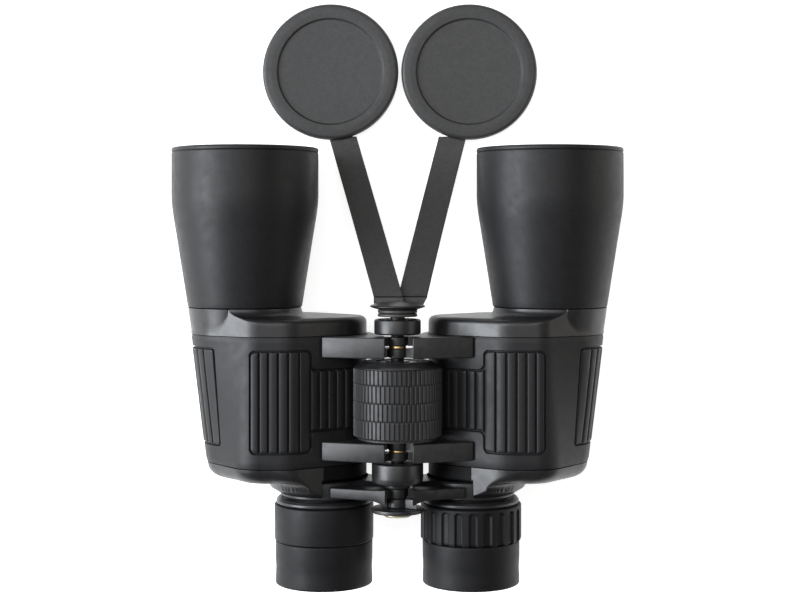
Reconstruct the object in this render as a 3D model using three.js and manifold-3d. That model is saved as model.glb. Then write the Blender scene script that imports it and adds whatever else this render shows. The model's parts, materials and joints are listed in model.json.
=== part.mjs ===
// Porro-prism binoculars of the 7x50 size, with two objective caps on rubber straps.
// Millimetres. +Y points out of the objectives, +Z up through the focus wheel, +X to the right barrel.
// The origin is on the surface that the binoculars lie on, under the middle of their outline.
// Each barrel piece is built by a function of its side: 1 for the right barrel, -1 for the left.
import * as THREE from 'three';
import { mergeVertices } from 'three/addons/utils/BufferGeometryUtils.js';
import Module from 'manifold-3d';

const wasm = await Module();
wasm.setup();

const RIGHT = 1;
const LEFT = -1;
const GAP = 0.3; // between pieces that touch
const WELD = 1e-4;
const ROUND = 24; // segments round a large circle
const SMALL_ROUND = 12;

// Axes
const BARREL_X = 63.5; // objective axis
const EYEPIECE_X = 30.6; // eyepiece axis
const MOUTH_R = 30.5; // objective end, which lies on the table
const OPTIC_Z = MOUTH_R;
const HINGE_Z = OPTIC_Z + 20.5;

// Prism housing: its section is a hull of six circles, and its outer side tapers towards the rear
const HOUSING_FRONT = -18.9;
const HOUSING_REAR = -71.5;
const OUTER_R = 22.1; // round the objective axis
const INNER_R = 17.7; // round the eyepiece axis
const CORNER_R = 15.5; // top and underside corners
const CORNER_X = 47;
const TOP_CORNER_Z = HINGE_Z - 8;
const BROW_X = 55.2; // the top runs level from the corner to here
const BROW_R = 13;
const KEEL_HALF_WIDTH = 4; // half of the flat strip on the underside
const TAPER_SLOPE = 0.12;
const ARMOUR_WALL = 1.5;
const HOUSING_WALL = 1.8;
const SHELF_Y = -45;
const SHELF_THICKNESS = 2;
const SHELF_CLEARANCE = 2;
const PRISM_R = 7; // rounded ends of each prism
const PRISM_MID_Z = HINGE_Z - 4; // where the light passes from one prism to the other

// Covers at the two ends of the housing
const FRONT_PLATE_Y = -11.4;
const FRONT_STEP_Y = -13.4;
const TUBE_REAR = -7.6;
const NECK_R = 23.65;
const LIGHT_R = 18.5;
const REAR_PLATE_Y = -77.8;
const REAR_STEP_Y = -75.6;
const EDGE_STEP = 1.4;
const SHROUD_R = 22.6;
const SHROUD_INNER_R = 18.4;
const SHROUD_CUT_X = 29.6;
const SHROUD_EDGE_Y = -81.8;
const SHROUD_LIP_Y = -84.4;

// Objective end
const TUBE_FRONT = 58.3;
const TUBE_WALL = 1.6;
const BARREL_WALL = 1.2;
const BARREL_FRONT = 54.6;
const MOUTH_INNER_R = 27.8;
const LENS_R = 25;

// Hinge, from front to rear
const COLLAR_R = 9.4;
const COLLAR_FRONT = -11.8;
const COLLAR_REAR = -17.9;
// A hinge arm's web: its top slopes from the housing up to its inner end, and it reaches down to its foot
const ARM_TOP = { x: 30.6, z: 52.2, innerZ: 60 };
const ARM_FOOT = { x: 14, z: 17 };
const ARM_HEEL = { x: 11.5, z: 21, innerZ: 46 };
const FRONT_ARM = [HOUSING_FRONT, -27.3];
const REAR_ARM = [-61.2, -68.8];
const LUG_R = 3.8;
const AXLE_R = 2.6;
const AXLE_BORE_R = 1.75;
const RUNNING = 0.15; // radial clearance of turning and sliding fits
const WASHER = 0.9;
const LUG_GAP = 1.1; // from one arm's lug to the other's, with the washer between them
const ARM_END_LEFT = 5.1; // the two arms stop at different distances from the hinge axis
const ARM_END_RIGHT = 6.1;
const WHEEL_R = 17.75;
const WHEEL_FRONT = -28.6;
const WHEEL_REAR = -59.8;
const WHEEL_BEVEL_Y = -31;
const GRIP_INNER_R = 15.8;
const REAR_COLLAR = [-69.5, -77.9];
const REAR_COLLAR_R = 10.4;
const SPINDLE_R = 5.2;
const SPINDLE_ROD_R = 1.5;

// Bridge and eyepieces
const BRIDGE = [-80, -84.2];
const BRIDGE_RING_FRONT = -78.3;
const BRIDGE_RING_REAR = -86.1;
const BRIDGE_RING_R = 17.9;
const BRIDGE_BOSS = [-79.9, -83.9, -87.6];
const BRIDGE_BOSS_R = 8;
const BRIDGE_ARM_OUTER_X = 27;
const BRIDGE_FLARE_X = 10;
const BOSS_BORE_R = 2.2;
const DISC = [-87.8, -89.4];
const DISC_R = 10.7;
const END_SCREW = { headR: 6, shankR: 3, rear: -91.3, seat: -89.7, tip: -88 };
const TUBE_R = 15;
const TUBE_FRONT_R = 13.2;
const TUBE_BORE_R = 12.4;
const FIELD_STOP_Y = -66;
const FIELD_LENS = [-71.5, -73];
const EYE_LENS = [-104, -106];
const EYE_LENS_BULGE = 1.6;
const EYE_CELL = { front: -97, seat: -103, rear: -109, stopR: 10.4, seatR: 11.2 };
const SHOULDER = [-86.5, -88.8];
const SHOULDER_R = 19.9;
const SLEEVE_REAR = -104;
const SLEEVE_R = 20.6;
const DIOPTER_R = 20.9;
const FLUTES = 22;
const FLUTE_DEPTH = 1;
const EYECUP_REAR = -122.2;
const EYECUP_R = 20.2;
const EYECUP_BORE_R = 16.4;
const EYECUP_FLOOR = -110;

// Caps and their straps
const CAP_R = 29.4;
const CAP_PLUG_R = 27.3;
const CAP_HEIGHT = 9;
const CAP_FLANGE_Z = 5.2;
const CAP_WALL = 1.8;
const CAP_RECESS = { outerR: 23.2, innerR: 22.4, depth: 0.8 };
const CAP_X = { left: -29, right: 31 };
const CAP_Y = 92.7;
const STRAP_WIDTH = 12.2;
const STRAP_THICKNESS = 1.4;
const STRAP_PIVOT = { y: -3.4, z: 38.2 };
const STRAP_END = { x: 24.2, y: 66, z: 4.4 };
const STRAP_ROOT_X = { left: -3.8, right: 6.2 };
const STRAP_LAYER = 2; // the right strap starts this far below the left one
const STRAP_STEPS = 12;
const RING_R = 8;
const RING_THICKNESS = 1.2;
const RING_FRONT = -8;
const PLUG_DISC = [-4.8, -7.7];
const PLUG_DISC_R = 11.3;
const STUD_R = 2.9;
const SOCKET_R = 3.2;

const COLOURS = {
  rubber: [0x222325, 0.85, 0],
  satin: [0x1b1c1e, 0.45, 0],
  metal: [0x2a2b2d, 0.4, 0.6],
  cap: [0x47484a, 0.75, 0],
  brass: [0xb9924a, 0.35, 1],
  glass: [0x9fb3c4, 0.05, 0],
  steel: [0x8d8f92, 0.3, 1],
};

const group = new THREE.Group();

function add(name, geometry, colour) {
  const [color, roughness, metalness] = COLOURS[colour];
  const mesh = new THREE.Mesh(geometry, new THREE.MeshStandardMaterial({ color, roughness, metalness }));
  mesh.name = name;
  group.add(mesh);
}

// Joining and cutting

function solid(geometry) {
  const bare = geometry.clone();
  bare.deleteAttribute('normal');
  bare.deleteAttribute('uv');
  const merged = mergeVertices(bare, WELD);
  const corners = merged.index.array;
  const kept = [];
  for (let i = 0; i < corners.length; i += 3) {
    const [a, b, c] = corners.slice(i, i + 3);
    if (a !== b && b !== c && c !== a) kept.push(a, b, c);
  }
  return new wasm.Manifold(
    new wasm.Mesh({
      numProp: 3,
      vertProperties: new Float32Array(merged.attributes.position.array),
      triVerts: new Uint32Array(kept),
    }),
  );
}

function surface(manifold) {
  const mesh = manifold.getMesh();
  const geometry = new THREE.BufferGeometry();
  geometry.setAttribute('position', new THREE.BufferAttribute(mesh.vertProperties, 3));
  geometry.setIndex(new THREE.BufferAttribute(mesh.triVerts, 1));
  return geometry;
}

// Basic shapes

function turned(profile, segments = ROUND) {
  const points = profile.map(([radius, y]) => new THREE.Vector2(radius, y));
  if (THREE.ShapeUtils.area(points) < 0) points.reverse();
  return new THREE.LatheGeometry(points, segments);
}

// A turned piece with a hole through it: the profile is closed on itself
function turnedRing(profile, segments = ROUND) {
  return turned([...profile, profile[0]], segments);
}

function tube(outer, inner, [front, rear], segments = ROUND) {
  return turnedRing([[inner, rear], [outer, rear], [outer, front], [inner, front]], segments);
}

function rod(radius, [front, rear], segments = ROUND) {
  return turned([[0, rear], [radius, rear], [radius, front], [0, front]], segments);
}

function block(x, y, z) {
  const size = [x, y, z].map(([low, high]) => Math.abs(high - low));
  const middle = [x, y, z].map(([low, high]) => (low + high) / 2);
  return new THREE.BoxGeometry(...size).translate(...middle);
}

// Extrudes an outline of [x, z] points along Y
function plate(outline, [front, rear]) {
  const shape = new THREE.Shape(outline.map(([x, z]) => new THREE.Vector2(x, z)));
  const geometry = new THREE.ExtrudeGeometry(shape, { depth: front - rear, bevelEnabled: false });
  return geometry.rotateX(Math.PI / 2).translate(0, front, 0);
}

// The outline round a set of circles { x, z, r }, as one point for each of ROUND directions
function hull(circles) {
  const outline = [];
  for (let i = 0; i < ROUND; i += 1) {
    const angle = ((i + 0.5) / ROUND) * 2 * Math.PI;
    const [dx, dz] = [Math.cos(angle), Math.sin(angle)];
    const reach = circles.map(({ x, z, r }) => x * dx + z * dz + r);
    const { x, z, r } = circles[reach.indexOf(Math.max(...reach))];
    outline.push([x + r * dx, z + r * dz]);
  }
  return outline;
}

// The section of a prism housing, this far inside its outer surface
function housingSection(side, inset) {
  const keelZ = CORNER_R * Math.cos(Math.PI / ROUND); // puts the flat strip of the underside at z = 0
  const circle = (x, z, r) => ({ x: side * x, z, r: r - inset });
  return hull([
    circle(BARREL_X, OPTIC_Z, OUTER_R),
    circle(EYEPIECE_X, OPTIC_Z, INNER_R),
    circle(CORNER_X, TOP_CORNER_Z, CORNER_R),
    circle(BROW_X, TOP_CORNER_Z + CORNER_R - BROW_R, BROW_R),
    circle(CORNER_X - KEEL_HALF_WIDTH, keelZ, CORNER_R),
    circle(CORNER_X + KEEL_HALF_WIDTH, keelZ, CORNER_R),
  ]);
}

// Draws the outer flank in towards the objective axis, more the further back it is
function tapered(geometry, side) {
  const places = geometry.attributes.position;
  for (let i = 0; i < places.count; i += 1) {
    const x = places.getX(i) - side * BARREL_X;
    const z = places.getZ(i) - OPTIC_Z;
    const radius = Math.hypot(x, z);
    const inwards = TAPER_SLOPE * (HOUSING_FRONT - places.getY(i));
    if (x * side > 0 && radius > inwards) {
      const scale = 1 - inwards / radius;
      places.setX(i, side * BARREL_X + x * scale);
      places.setZ(i, OPTIC_Z + z * scale);
    }
  }
  return geometry;
}

function housingSlab(side, inset, span) {
  return tapered(plate(housingSection(side, inset), span), side);
}

function atBarrel(geometry, side) {
  return geometry.translate(side * BARREL_X, 0, OPTIC_Z);
}

function atEyepiece(geometry, side) {
  return geometry.translate(side * EYEPIECE_X, 0, OPTIC_Z);
}

function atHinge(geometry) {
  return geometry.translate(0, 0, HINGE_Z);
}

// Barrels

function housingShell(side, inset, wall) {
  const span = [HOUSING_FRONT, HOUSING_REAR];
  const through = [HOUSING_FRONT + 1, HOUSING_REAR - 1];
  const hollow = solid(housingSlab(side, inset + wall, through));
  return surface(solid(housingSlab(side, inset, span)).subtract(hollow));
}

function frontCover(side) {
  const cut = [TUBE_REAR + 1, HOUSING_FRONT - 1];
  const neck = turnedRing([
    [LIGHT_R, HOUSING_FRONT + GAP],
    [OUTER_R - GAP, HOUSING_FRONT + GAP],
    [NECK_R, TUBE_REAR - GAP],
    [LIGHT_R, TUBE_REAR - GAP],
  ]);
  const cover = solid(housingSlab(side, 0, [FRONT_STEP_Y, HOUSING_FRONT + GAP]))
    .add(solid(housingSlab(side, EDGE_STEP, [FRONT_PLATE_Y, HOUSING_FRONT + GAP])))
    .subtract(solid(atBarrel(rod(LIGHT_R, cut), side)))
    .add(solid(atBarrel(neck, side)));
  return surface(cover);
}

function rearCover(side) {
  const front = HOUSING_REAR - GAP;
  const shroud = turnedRing([
    [SHROUD_INNER_R, REAR_PLATE_Y + 1],
    [SHROUD_INNER_R, SHROUD_LIP_Y],
    [SHROUD_INNER_R + 0.6, SHROUD_LIP_Y],
    [SHROUD_R, SHROUD_EDGE_Y],
    [SHROUD_R, REAR_PLATE_Y + 1],
  ]);
  const outerHalf = block([side * SHROUD_CUT_X, side * 80], [REAR_PLATE_Y + 2, -90], [0, 80]);
  const cover = solid(housingSlab(side, 0, [front, REAR_STEP_Y]))
    .add(solid(housingSlab(side, EDGE_STEP, [front, REAR_PLATE_Y])))
    .add(solid(atEyepiece(shroud, side)).intersect(solid(outerHalf)))
    .subtract(solid(atEyepiece(rod(TUBE_FRONT_R + GAP, [front + 1, REAR_PLATE_Y - 1]), side)));
  return surface(cover);
}

// Stations of the objective tube's surface: a cone that swells and then runs level to the mouth
const TUBE_STATIONS = [[23.7, TUBE_REAR], [28.4, 22.2], [MOUTH_R, 39.2]];
const SWELL = [29.8, 28.5]; // the outer surface bulges between the last two

function insideTube(wall) {
  return TUBE_STATIONS.map(([radius, y]) => [radius - wall, y]);
}

function objectiveArmour(side) {
  const geometry = turnedRing([
    ...TUBE_STATIONS.slice(0, 2),
    SWELL,
    TUBE_STATIONS[2],
    [MOUTH_R, TUBE_FRONT - 1.2],
    [MOUTH_R - 1, TUBE_FRONT],
    [MOUTH_INNER_R, TUBE_FRONT],
    [MOUTH_INNER_R, BARREL_FRONT + GAP],
    [MOUTH_R - TUBE_WALL, BARREL_FRONT + GAP],
    ...insideTube(TUBE_WALL).reverse(),
  ]);
  return atBarrel(geometry, side);
}

function objectiveBarrel(side) {
  return atBarrel(
    turnedRing([
      ...insideTube(TUBE_WALL + RUNNING),
      [MOUTH_R - TUBE_WALL - RUNNING, BARREL_FRONT],
      [MOUTH_R - TUBE_WALL - RUNNING - BARREL_WALL, BARREL_FRONT],
      ...insideTube(TUBE_WALL + RUNNING + BARREL_WALL).reverse(),
    ]),
    side,
  );
}

const CELL_R = MOUTH_R - TUBE_WALL - BARREL_WALL - 2 * RUNNING;
const CELL = [52, 43];

function objectiveCell(side) {
  const geometry = turnedRing([
    [LENS_R - 1, CELL[1]],
    [CELL_R, CELL[1]],
    [CELL_R, CELL[0]],
    [LENS_R + RUNNING, CELL[0]],
    [LENS_R + RUNNING, CELL[1] + 2],
    [LENS_R - 1, CELL[1] + 2],
  ]);
  return atBarrel(geometry, side);
}

// A lens with both faces bulging, its edge from front to rear
function lens(radius, [front, rear], bulge) {
  const face = (edge, reach) => [
    [radius * 0.5, edge + reach * 0.75],
    [radius * 0.8, edge + reach * 0.36],
  ];
  const back = [[0, rear - bulge], ...face(rear, -bulge), [radius, rear]];
  const ahead = [[radius, front], ...face(front, bulge).reverse(), [0, front + bulge]];
  return turned([...back, ...ahead], SMALL_ROUND);
}

function prismShelf(side) {
  const span = [SHELF_Y + SHELF_THICKNESS / 2, SHELF_Y - SHELF_THICKNESS / 2];
  const inset = ARMOUR_WALL + HOUSING_WALL + SHELF_CLEARANCE;
  let shelf = solid(housingSlab(side, inset, span));
  for (const [x, z] of [[BARREL_X, OPTIC_Z], [CORNER_X, PRISM_MID_Z], [EYEPIECE_X, OPTIC_Z]]) {
    const hole = rod(PRISM_R - 1, [span[0] + 1, span[1] - 1], SMALL_ROUND);
    shelf = shelf.subtract(solid(hole.translate(side * x, 0, z)));
  }
  return surface(shelf);
}

// A right-angle prism with rounded ends. Its long face lies on the shelf and joins one optical axis to
// the middle one; its roof points away from the shelf, forward (1) or back (-1).
function prism(side, axisX, forward) {
  const ends = [[axisX, OPTIC_Z], [CORNER_X, PRISM_MID_Z]].map(([x, z]) => ({ x: side * x, z, r: PRISM_R }));
  const [from, to] = ends;
  const length = Math.hypot(to.x - from.x, to.z - from.z) + 2 * PRISM_R;
  const base = SHELF_Y + forward * (SHELF_THICKNESS / 2 + GAP);
  const tip = base + (forward * length) / 2;
  const column = plate(hull(ends), [Math.max(base, tip), Math.min(base, tip)]);
  const gable = [[-length / 2, 0], [length / 2, 0], [0, length / 2]];
  const roof = new THREE.ExtrudeGeometry(
    new THREE.Shape(gable.map(([u, v]) => new THREE.Vector2(u, v))),
    { depth: 3 * PRISM_R, bevelEnabled: false },
  );
  const along = new THREE.Vector3(to.x - from.x, 0, to.z - from.z).normalize();
  const out = new THREE.Vector3(0, forward, 0);
  const across = new THREE.Vector3().crossVectors(along, out);
  roof.translate(0, 0, -1.5 * PRISM_R).applyMatrix4(new THREE.Matrix4().makeBasis(along, out, across));
  roof.translate((from.x + to.x) / 2, base, (from.z + to.z) / 2);
  return surface(solid(column).intersect(solid(roof)));
}

// Hinge arms: a deep web on the inner end of a housing, with a lug round the axle

// Joins a lug to the inner end of its arm
function lugLink(side, inner, span) {
  return block([0, side * (inner + 2)], span, [HINGE_Z - LUG_R + 0.4, HINGE_Z + LUG_R - 1.6]);
}

function hingeArm(side, span, lugSpan) {
  const inner = side === RIGHT ? ARM_END_RIGHT : ARM_END_LEFT;
  const outline = [
    [inner, ARM_TOP.innerZ],
    [ARM_TOP.x, ARM_TOP.z],
    [ARM_TOP.x, OPTIC_Z],
    [ARM_FOOT.x, ARM_FOOT.z],
    [ARM_HEEL.x, ARM_HEEL.z],
    [inner, ARM_HEEL.innerZ],
  ];
  const web = plate(outline.map(([x, z]) => [side * x, z]), span);
  const housing = plate(housingSection(side, -GAP), [span[0] + 1, span[1] - 1]);
  const lug = atHinge(rod(LUG_R, lugSpan, SMALL_ROUND));
  const link = lugLink(side, inner, lugSpan);
  const bore = atHinge(rod(AXLE_R + RUNNING, [span[0] + 1, span[1] - 1], SMALL_ROUND));
  const arm = solid(web).subtract(solid(housing)).add(solid(lug)).add(solid(link));
  return surface(arm.subtract(solid(bore)));
}

function halves([front, rear]) {
  const middle = (front + rear) / 2;
  return { front: [front, middle + LUG_GAP / 2], rear: [middle - LUG_GAP / 2, rear] };
}

function washer([front, rear]) {
  const middle = (front + rear) / 2;
  return atHinge(tube(LUG_R, AXLE_R + RUNNING, [middle + WASHER / 2, middle - WASHER / 2], SMALL_ROUND));
}

function frontCollar() {
  const bushR = SOCKET_R + 1.4;
  return atHinge(
    turnedRing([
      [AXLE_R + RUNNING, COLLAR_REAR],
      [COLLAR_R - 0.8, COLLAR_REAR],
      [COLLAR_R, COLLAR_REAR + 0.8],
      [COLLAR_R, COLLAR_FRONT - 0.8],
      [COLLAR_R - 0.8, COLLAR_FRONT],
      [bushR, COLLAR_FRONT],
      [bushR, COLLAR_REAR + 1.4],
      [AXLE_R + RUNNING, COLLAR_REAR + 1.4],
    ], SMALL_ROUND),
  );
}

function focusWheel() {
  return atHinge(
    turnedRing([
      [AXLE_R + RUNNING, WHEEL_REAR],
      [GRIP_INNER_R - GAP, WHEEL_REAR],
      [GRIP_INNER_R - GAP, WHEEL_BEVEL_Y],
      [WHEEL_R - GAP, WHEEL_BEVEL_Y],
      [WHEEL_R - 2.4, WHEEL_FRONT],
      [AXLE_R + RUNNING, WHEEL_FRONT],
    ]),
  );
}

function focusGrip() {
  return atHinge(
    turnedRing([
      [GRIP_INNER_R, WHEEL_REAR],
      [WHEEL_R - 1.3, WHEEL_REAR],
      [WHEEL_R, WHEEL_REAR + 1.5],
      [WHEEL_R, WHEEL_BEVEL_Y - GAP],
      [GRIP_INNER_R, WHEEL_BEVEL_Y - GAP],
    ]),
  );
}

function rearCollar() {
  const [front, rear] = REAR_COLLAR;
  return atHinge(
    turnedRing([
      [SPINDLE_R + RUNNING, rear],
      [REAR_COLLAR_R - 1.4, rear],
      [REAR_COLLAR_R - 0.4, rear + 0.5],
      [REAR_COLLAR_R, rear + 1.8],
      [REAR_COLLAR_R - 0.5, front],
      [AXLE_R + RUNNING, front],
      [AXLE_R + RUNNING, front - 1],
      [SPINDLE_R + RUNNING, front - 1],
    ], SMALL_ROUND),
  );
}

function focusingSpindle() {
  return atHinge(
    turned([
      [0, DISC[0] + GAP],
      [BOSS_BORE_R - RUNNING, DISC[0] + GAP],
      [BOSS_BORE_R - RUNNING, BRIDGE[0] + GAP],
      [SPINDLE_R, BRIDGE[0] + GAP],
      [SPINDLE_R, REAR_COLLAR[0] - 1.3],
      [SPINDLE_ROD_R, REAR_COLLAR[0] - 1.3],
      [SPINDLE_ROD_R, WHEEL_FRONT - 8],
      [0, WHEEL_FRONT - 8],
    ], SMALL_ROUND),
  );
}

// Bridge: each arm holds one eyepiece, and the two are hinged round the spindle

function bridgeArm(side, lugSpan) {
  const inner = side === RIGHT ? ARM_END_RIGHT : ARM_END_LEFT;
  const eye = { x: side * EYEPIECE_X, z: OPTIC_Z, r: BRIDGE_RING_R };
  const boss = { x: 0, z: HINGE_Z, r: BRIDGE_BOSS_R };
  const arm = plate(hull([eye, boss]), BRIDGE);
  const flare = plate(hull([eye, boss]), [BRIDGE[0] + GAP, BRIDGE_RING_REAR]);
  const reach = (from, to) => solid(block([side * from, side * to], [BRIDGE[0] + 2, -90], [0, 80]));
  const lug = atHinge(rod(LUG_R, lugSpan, SMALL_ROUND));
  const link = lugLink(side, inner, lugSpan);
  const through = [BRIDGE[0] + 3, -91];
  const body = solid(arm)
    .intersect(reach(inner, BRIDGE_ARM_OUTER_X))
    .add(solid(flare).intersect(reach(inner, BRIDGE_FLARE_X)))
    .add(solid(atEyepiece(rod(BRIDGE_RING_R, [BRIDGE_RING_FRONT, BRIDGE_RING_REAR]), side)))
    .add(solid(lug))
    .add(solid(link))
    .subtract(solid(atEyepiece(rod(TUBE_R + RUNNING, through), side)))
    .subtract(solid(atHinge(rod(BOSS_BORE_R, through, SMALL_ROUND))));
  return surface(body);
}

function endScrew() {
  return atHinge(
    turned([
      [0, END_SCREW.rear],
      [END_SCREW.headR - 1, END_SCREW.rear],
      [END_SCREW.headR, END_SCREW.rear + 0.7],
      [END_SCREW.headR, END_SCREW.seat],
      [END_SCREW.shankR, END_SCREW.seat],
      [END_SCREW.shankR, END_SCREW.tip],
      [0, END_SCREW.tip],
    ], SMALL_ROUND),
  );
}

function eyepieceTube(side, rear) {
  return atEyepiece(
    turnedRing([
      [TUBE_BORE_R, rear],
      [TUBE_R, rear],
      [TUBE_R, SHOULDER[1]],
      [SHOULDER_R, SHOULDER[1]],
      [SHOULDER_R - 1, SHOULDER[0]],
      [TUBE_R, SHOULDER[0]],
      [TUBE_R, BRIDGE[0] + 0.6],
      [TUBE_FRONT_R, BRIDGE[0] + 0.6],
      [TUBE_FRONT_R, FIELD_STOP_Y],
      [TUBE_BORE_R - 1, FIELD_STOP_Y],
      [TUBE_BORE_R - 1, FIELD_STOP_Y - 3],
      [TUBE_BORE_R, FIELD_STOP_Y - 3],
    ]),
    side,
  );
}

function eyepieceSleeve() {
  return atEyepiece(tube(SLEEVE_R, TUBE_R + GAP, [SHOULDER[1] - GAP, SLEEVE_REAR]), LEFT);
}

// The dioptre ring has flutes round it that are open towards the eyecup
function diopterRing() {
  const front = SHOULDER[1] - GAP;
  const floor = DIOPTER_R - FLUTE_DEPTH;
  const flute = [[0, DIOPTER_R], [0.38, DIOPTER_R], [0.48, floor], [0.9, floor]];
  const outline = [];
  for (let i = 0; i < FLUTES; i += 1) {
    const start = (i / FLUTES) * 2 * Math.PI;
    const pitch = (2 * Math.PI) / FLUTES;
    for (const [share, radius] of flute) {
      const angle = start + share * pitch;
      outline.push([radius * Math.cos(angle), radius * Math.sin(angle)]);
    }
  }
  const ring = solid(plate(outline, [front, SLEEVE_REAR])).subtract(
    solid(rod(TUBE_R + GAP, [front + 1, SLEEVE_REAR - 1])),
  );
  return atEyepiece(surface(ring), RIGHT);
}

function eyecup(side) {
  return atEyepiece(
    turnedRing([
      [TUBE_R + GAP, SLEEVE_REAR - GAP],
      [TUBE_R + GAP, EYECUP_FLOOR],
      [EYECUP_BORE_R, EYECUP_FLOOR - 1],
      [EYECUP_BORE_R + 0.8, EYECUP_REAR],
      [EYECUP_R - 0.6, EYECUP_REAR],
      [EYECUP_R, EYECUP_REAR + 1],
      [EYECUP_R - 0.6, EYECUP_REAR + 6],
      [EYECUP_R, SLEEVE_REAR - GAP],
    ]),
    side,
  );
}

function eyepieceCell() {
  return atEyepiece(
    turnedRing([
      [EYE_CELL.stopR, EYE_CELL.front],
      [TUBE_BORE_R - RUNNING, EYE_CELL.front],
      [TUBE_BORE_R - RUNNING, EYE_CELL.rear],
      [EYE_CELL.seatR, EYE_CELL.rear],
      [EYE_CELL.seatR, EYE_CELL.seat],
      [EYE_CELL.stopR, EYE_CELL.seat],
    ], SMALL_ROUND),
    RIGHT,
  );
}

// Caps, straps and the plug that they hang on

function cap(side) {
  const roof = CAP_HEIGHT - 2.4;
  const geometry = turned([
    [0, roof],
    [CAP_PLUG_R - CAP_WALL, roof],
    [CAP_PLUG_R - CAP_WALL, 0],
    [CAP_PLUG_R, 0],
    [CAP_PLUG_R, CAP_FLANGE_Z],
    [CAP_R, CAP_FLANGE_Z],
    [CAP_R, CAP_HEIGHT - 1.4],
    [CAP_R - 1.4, CAP_HEIGHT],
    [CAP_RECESS.outerR, CAP_HEIGHT],
    [CAP_RECESS.innerR, CAP_HEIGHT - CAP_RECESS.depth],
    [0, CAP_HEIGHT - CAP_RECESS.depth],
  ]);
  return geometry.rotateX(Math.PI / 2).translate(side === LEFT ? CAP_X.left : CAP_X.right, CAP_Y, 0);
}

// Extrudes an outline of [y, z] points across X, centred on the plane x = 0
function across(outline, width) {
  const shape = new THREE.Shape(outline.map(([y, z]) => new THREE.Vector2(y, z)));
  const geometry = new THREE.ExtrudeGeometry(shape, { depth: width, bevelEnabled: false });
  const [x, y, z] = [new THREE.Vector3(1, 0, 0), new THREE.Vector3(0, 1, 0), new THREE.Vector3(0, 0, 1)];
  return geometry.translate(0, 0, -width / 2).applyMatrix4(new THREE.Matrix4().makeBasis(y, z, x));
}

// A strap hangs in a shallow curve from the front of the plug to the flange of its cap. The left strap
// lies over the right one where they leave the plug.
function strap(side) {
  const isLeft = side === LEFT;
  const rootX = isLeft ? STRAP_ROOT_X.left : STRAP_ROOT_X.right;
  const rootZ = isLeft ? STRAP_PIVOT.z : STRAP_PIVOT.z - STRAP_LAYER;
  const sag = new THREE.QuadraticBezierCurve(
    new THREE.Vector2(STRAP_PIVOT.y, rootZ),
    new THREE.Vector2(STRAP_PIVOT.y + 33, STRAP_END.z + 6 + (rootZ - STRAP_PIVOT.z)),
    new THREE.Vector2(STRAP_END.y, STRAP_END.z),
  );
  const edge = (offset) => sag.getPoints(STRAP_STEPS).map((point, i) => {
    const tangent = sag.getTangent(i / STRAP_STEPS);
    return [point.x - tangent.y * offset, point.y + tangent.x * offset];
  });
  const outline = [...edge(-STRAP_THICKNESS / 2), ...edge(STRAP_THICKNESS / 2).reverse()];
  const geometry = across(outline, STRAP_WIDTH);
  const places = geometry.attributes.position;
  for (let i = 0; i < places.count; i += 1) {
    const share = (places.getY(i) - STRAP_PIVOT.y) / (STRAP_END.y - STRAP_PIVOT.y);
    places.setX(i, places.getX(i) + rootX + share * (side * STRAP_END.x - rootX));
  }
  const capRoom = rod(CAP_R + GAP, [CAP_HEIGHT + 1, -1]);
  capRoom.rotateX(Math.PI / 2).translate(isLeft ? CAP_X.left : CAP_X.right, CAP_Y, 0);
  return surface(solid(geometry).subtract(solid(capRoom)));
}

// The ring at a strap's root goes round the plug's neck, and its tab runs under the plug's disc
function strapRing(side) {
  const isLeft = side === LEFT;
  const order = isLeft ? 0 : 1;
  const front = RING_FRONT - order * (RING_THICKNESS + GAP);
  const span = [front, front - RING_THICKNESS];
  const foot = STRAP_PIVOT.z - STRAP_LAYER * order;
  const tip = STRAP_PIVOT.y - 3 * GAP;
  const centre = isLeft ? STRAP_ROOT_X.left : STRAP_ROOT_X.right;
  const tab = across(
    [
      [span[1], HINGE_Z - 5],
      [span[1], foot - STRAP_THICKNESS / 2],
      [tip, foot - STRAP_THICKNESS / 2],
      [tip, foot + STRAP_THICKNESS / 2],
      [front, foot + STRAP_THICKNESS / 2],
      [front, HINGE_Z - 5],
    ],
    STRAP_WIDTH,
  );
  tab.translate(centre, 0, 0);
  const ring = solid(atHinge(rod(RING_R, span, SMALL_ROUND)));
  const hole = solid(atHinge(rod(STUD_R + RUNNING, [span[0] + 1, span[1] - 1], SMALL_ROUND)));
  return surface(ring.add(solid(tab)).subtract(hole));
}

function tripodPlug() {
  const [front, rear] = PLUG_DISC;
  return atHinge(
    turned([
      [0, COLLAR_FRONT - 4.2],
      [STUD_R, COLLAR_FRONT - 4.2],
      [STUD_R, rear],
      [PLUG_DISC_R - 1.5, rear],
      [PLUG_DISC_R, rear + 1],
      [PLUG_DISC_R - 0.6, rear + 1.8],
      [6, front],
      [0, front],
    ]),
  );
}

// The binoculars

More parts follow.
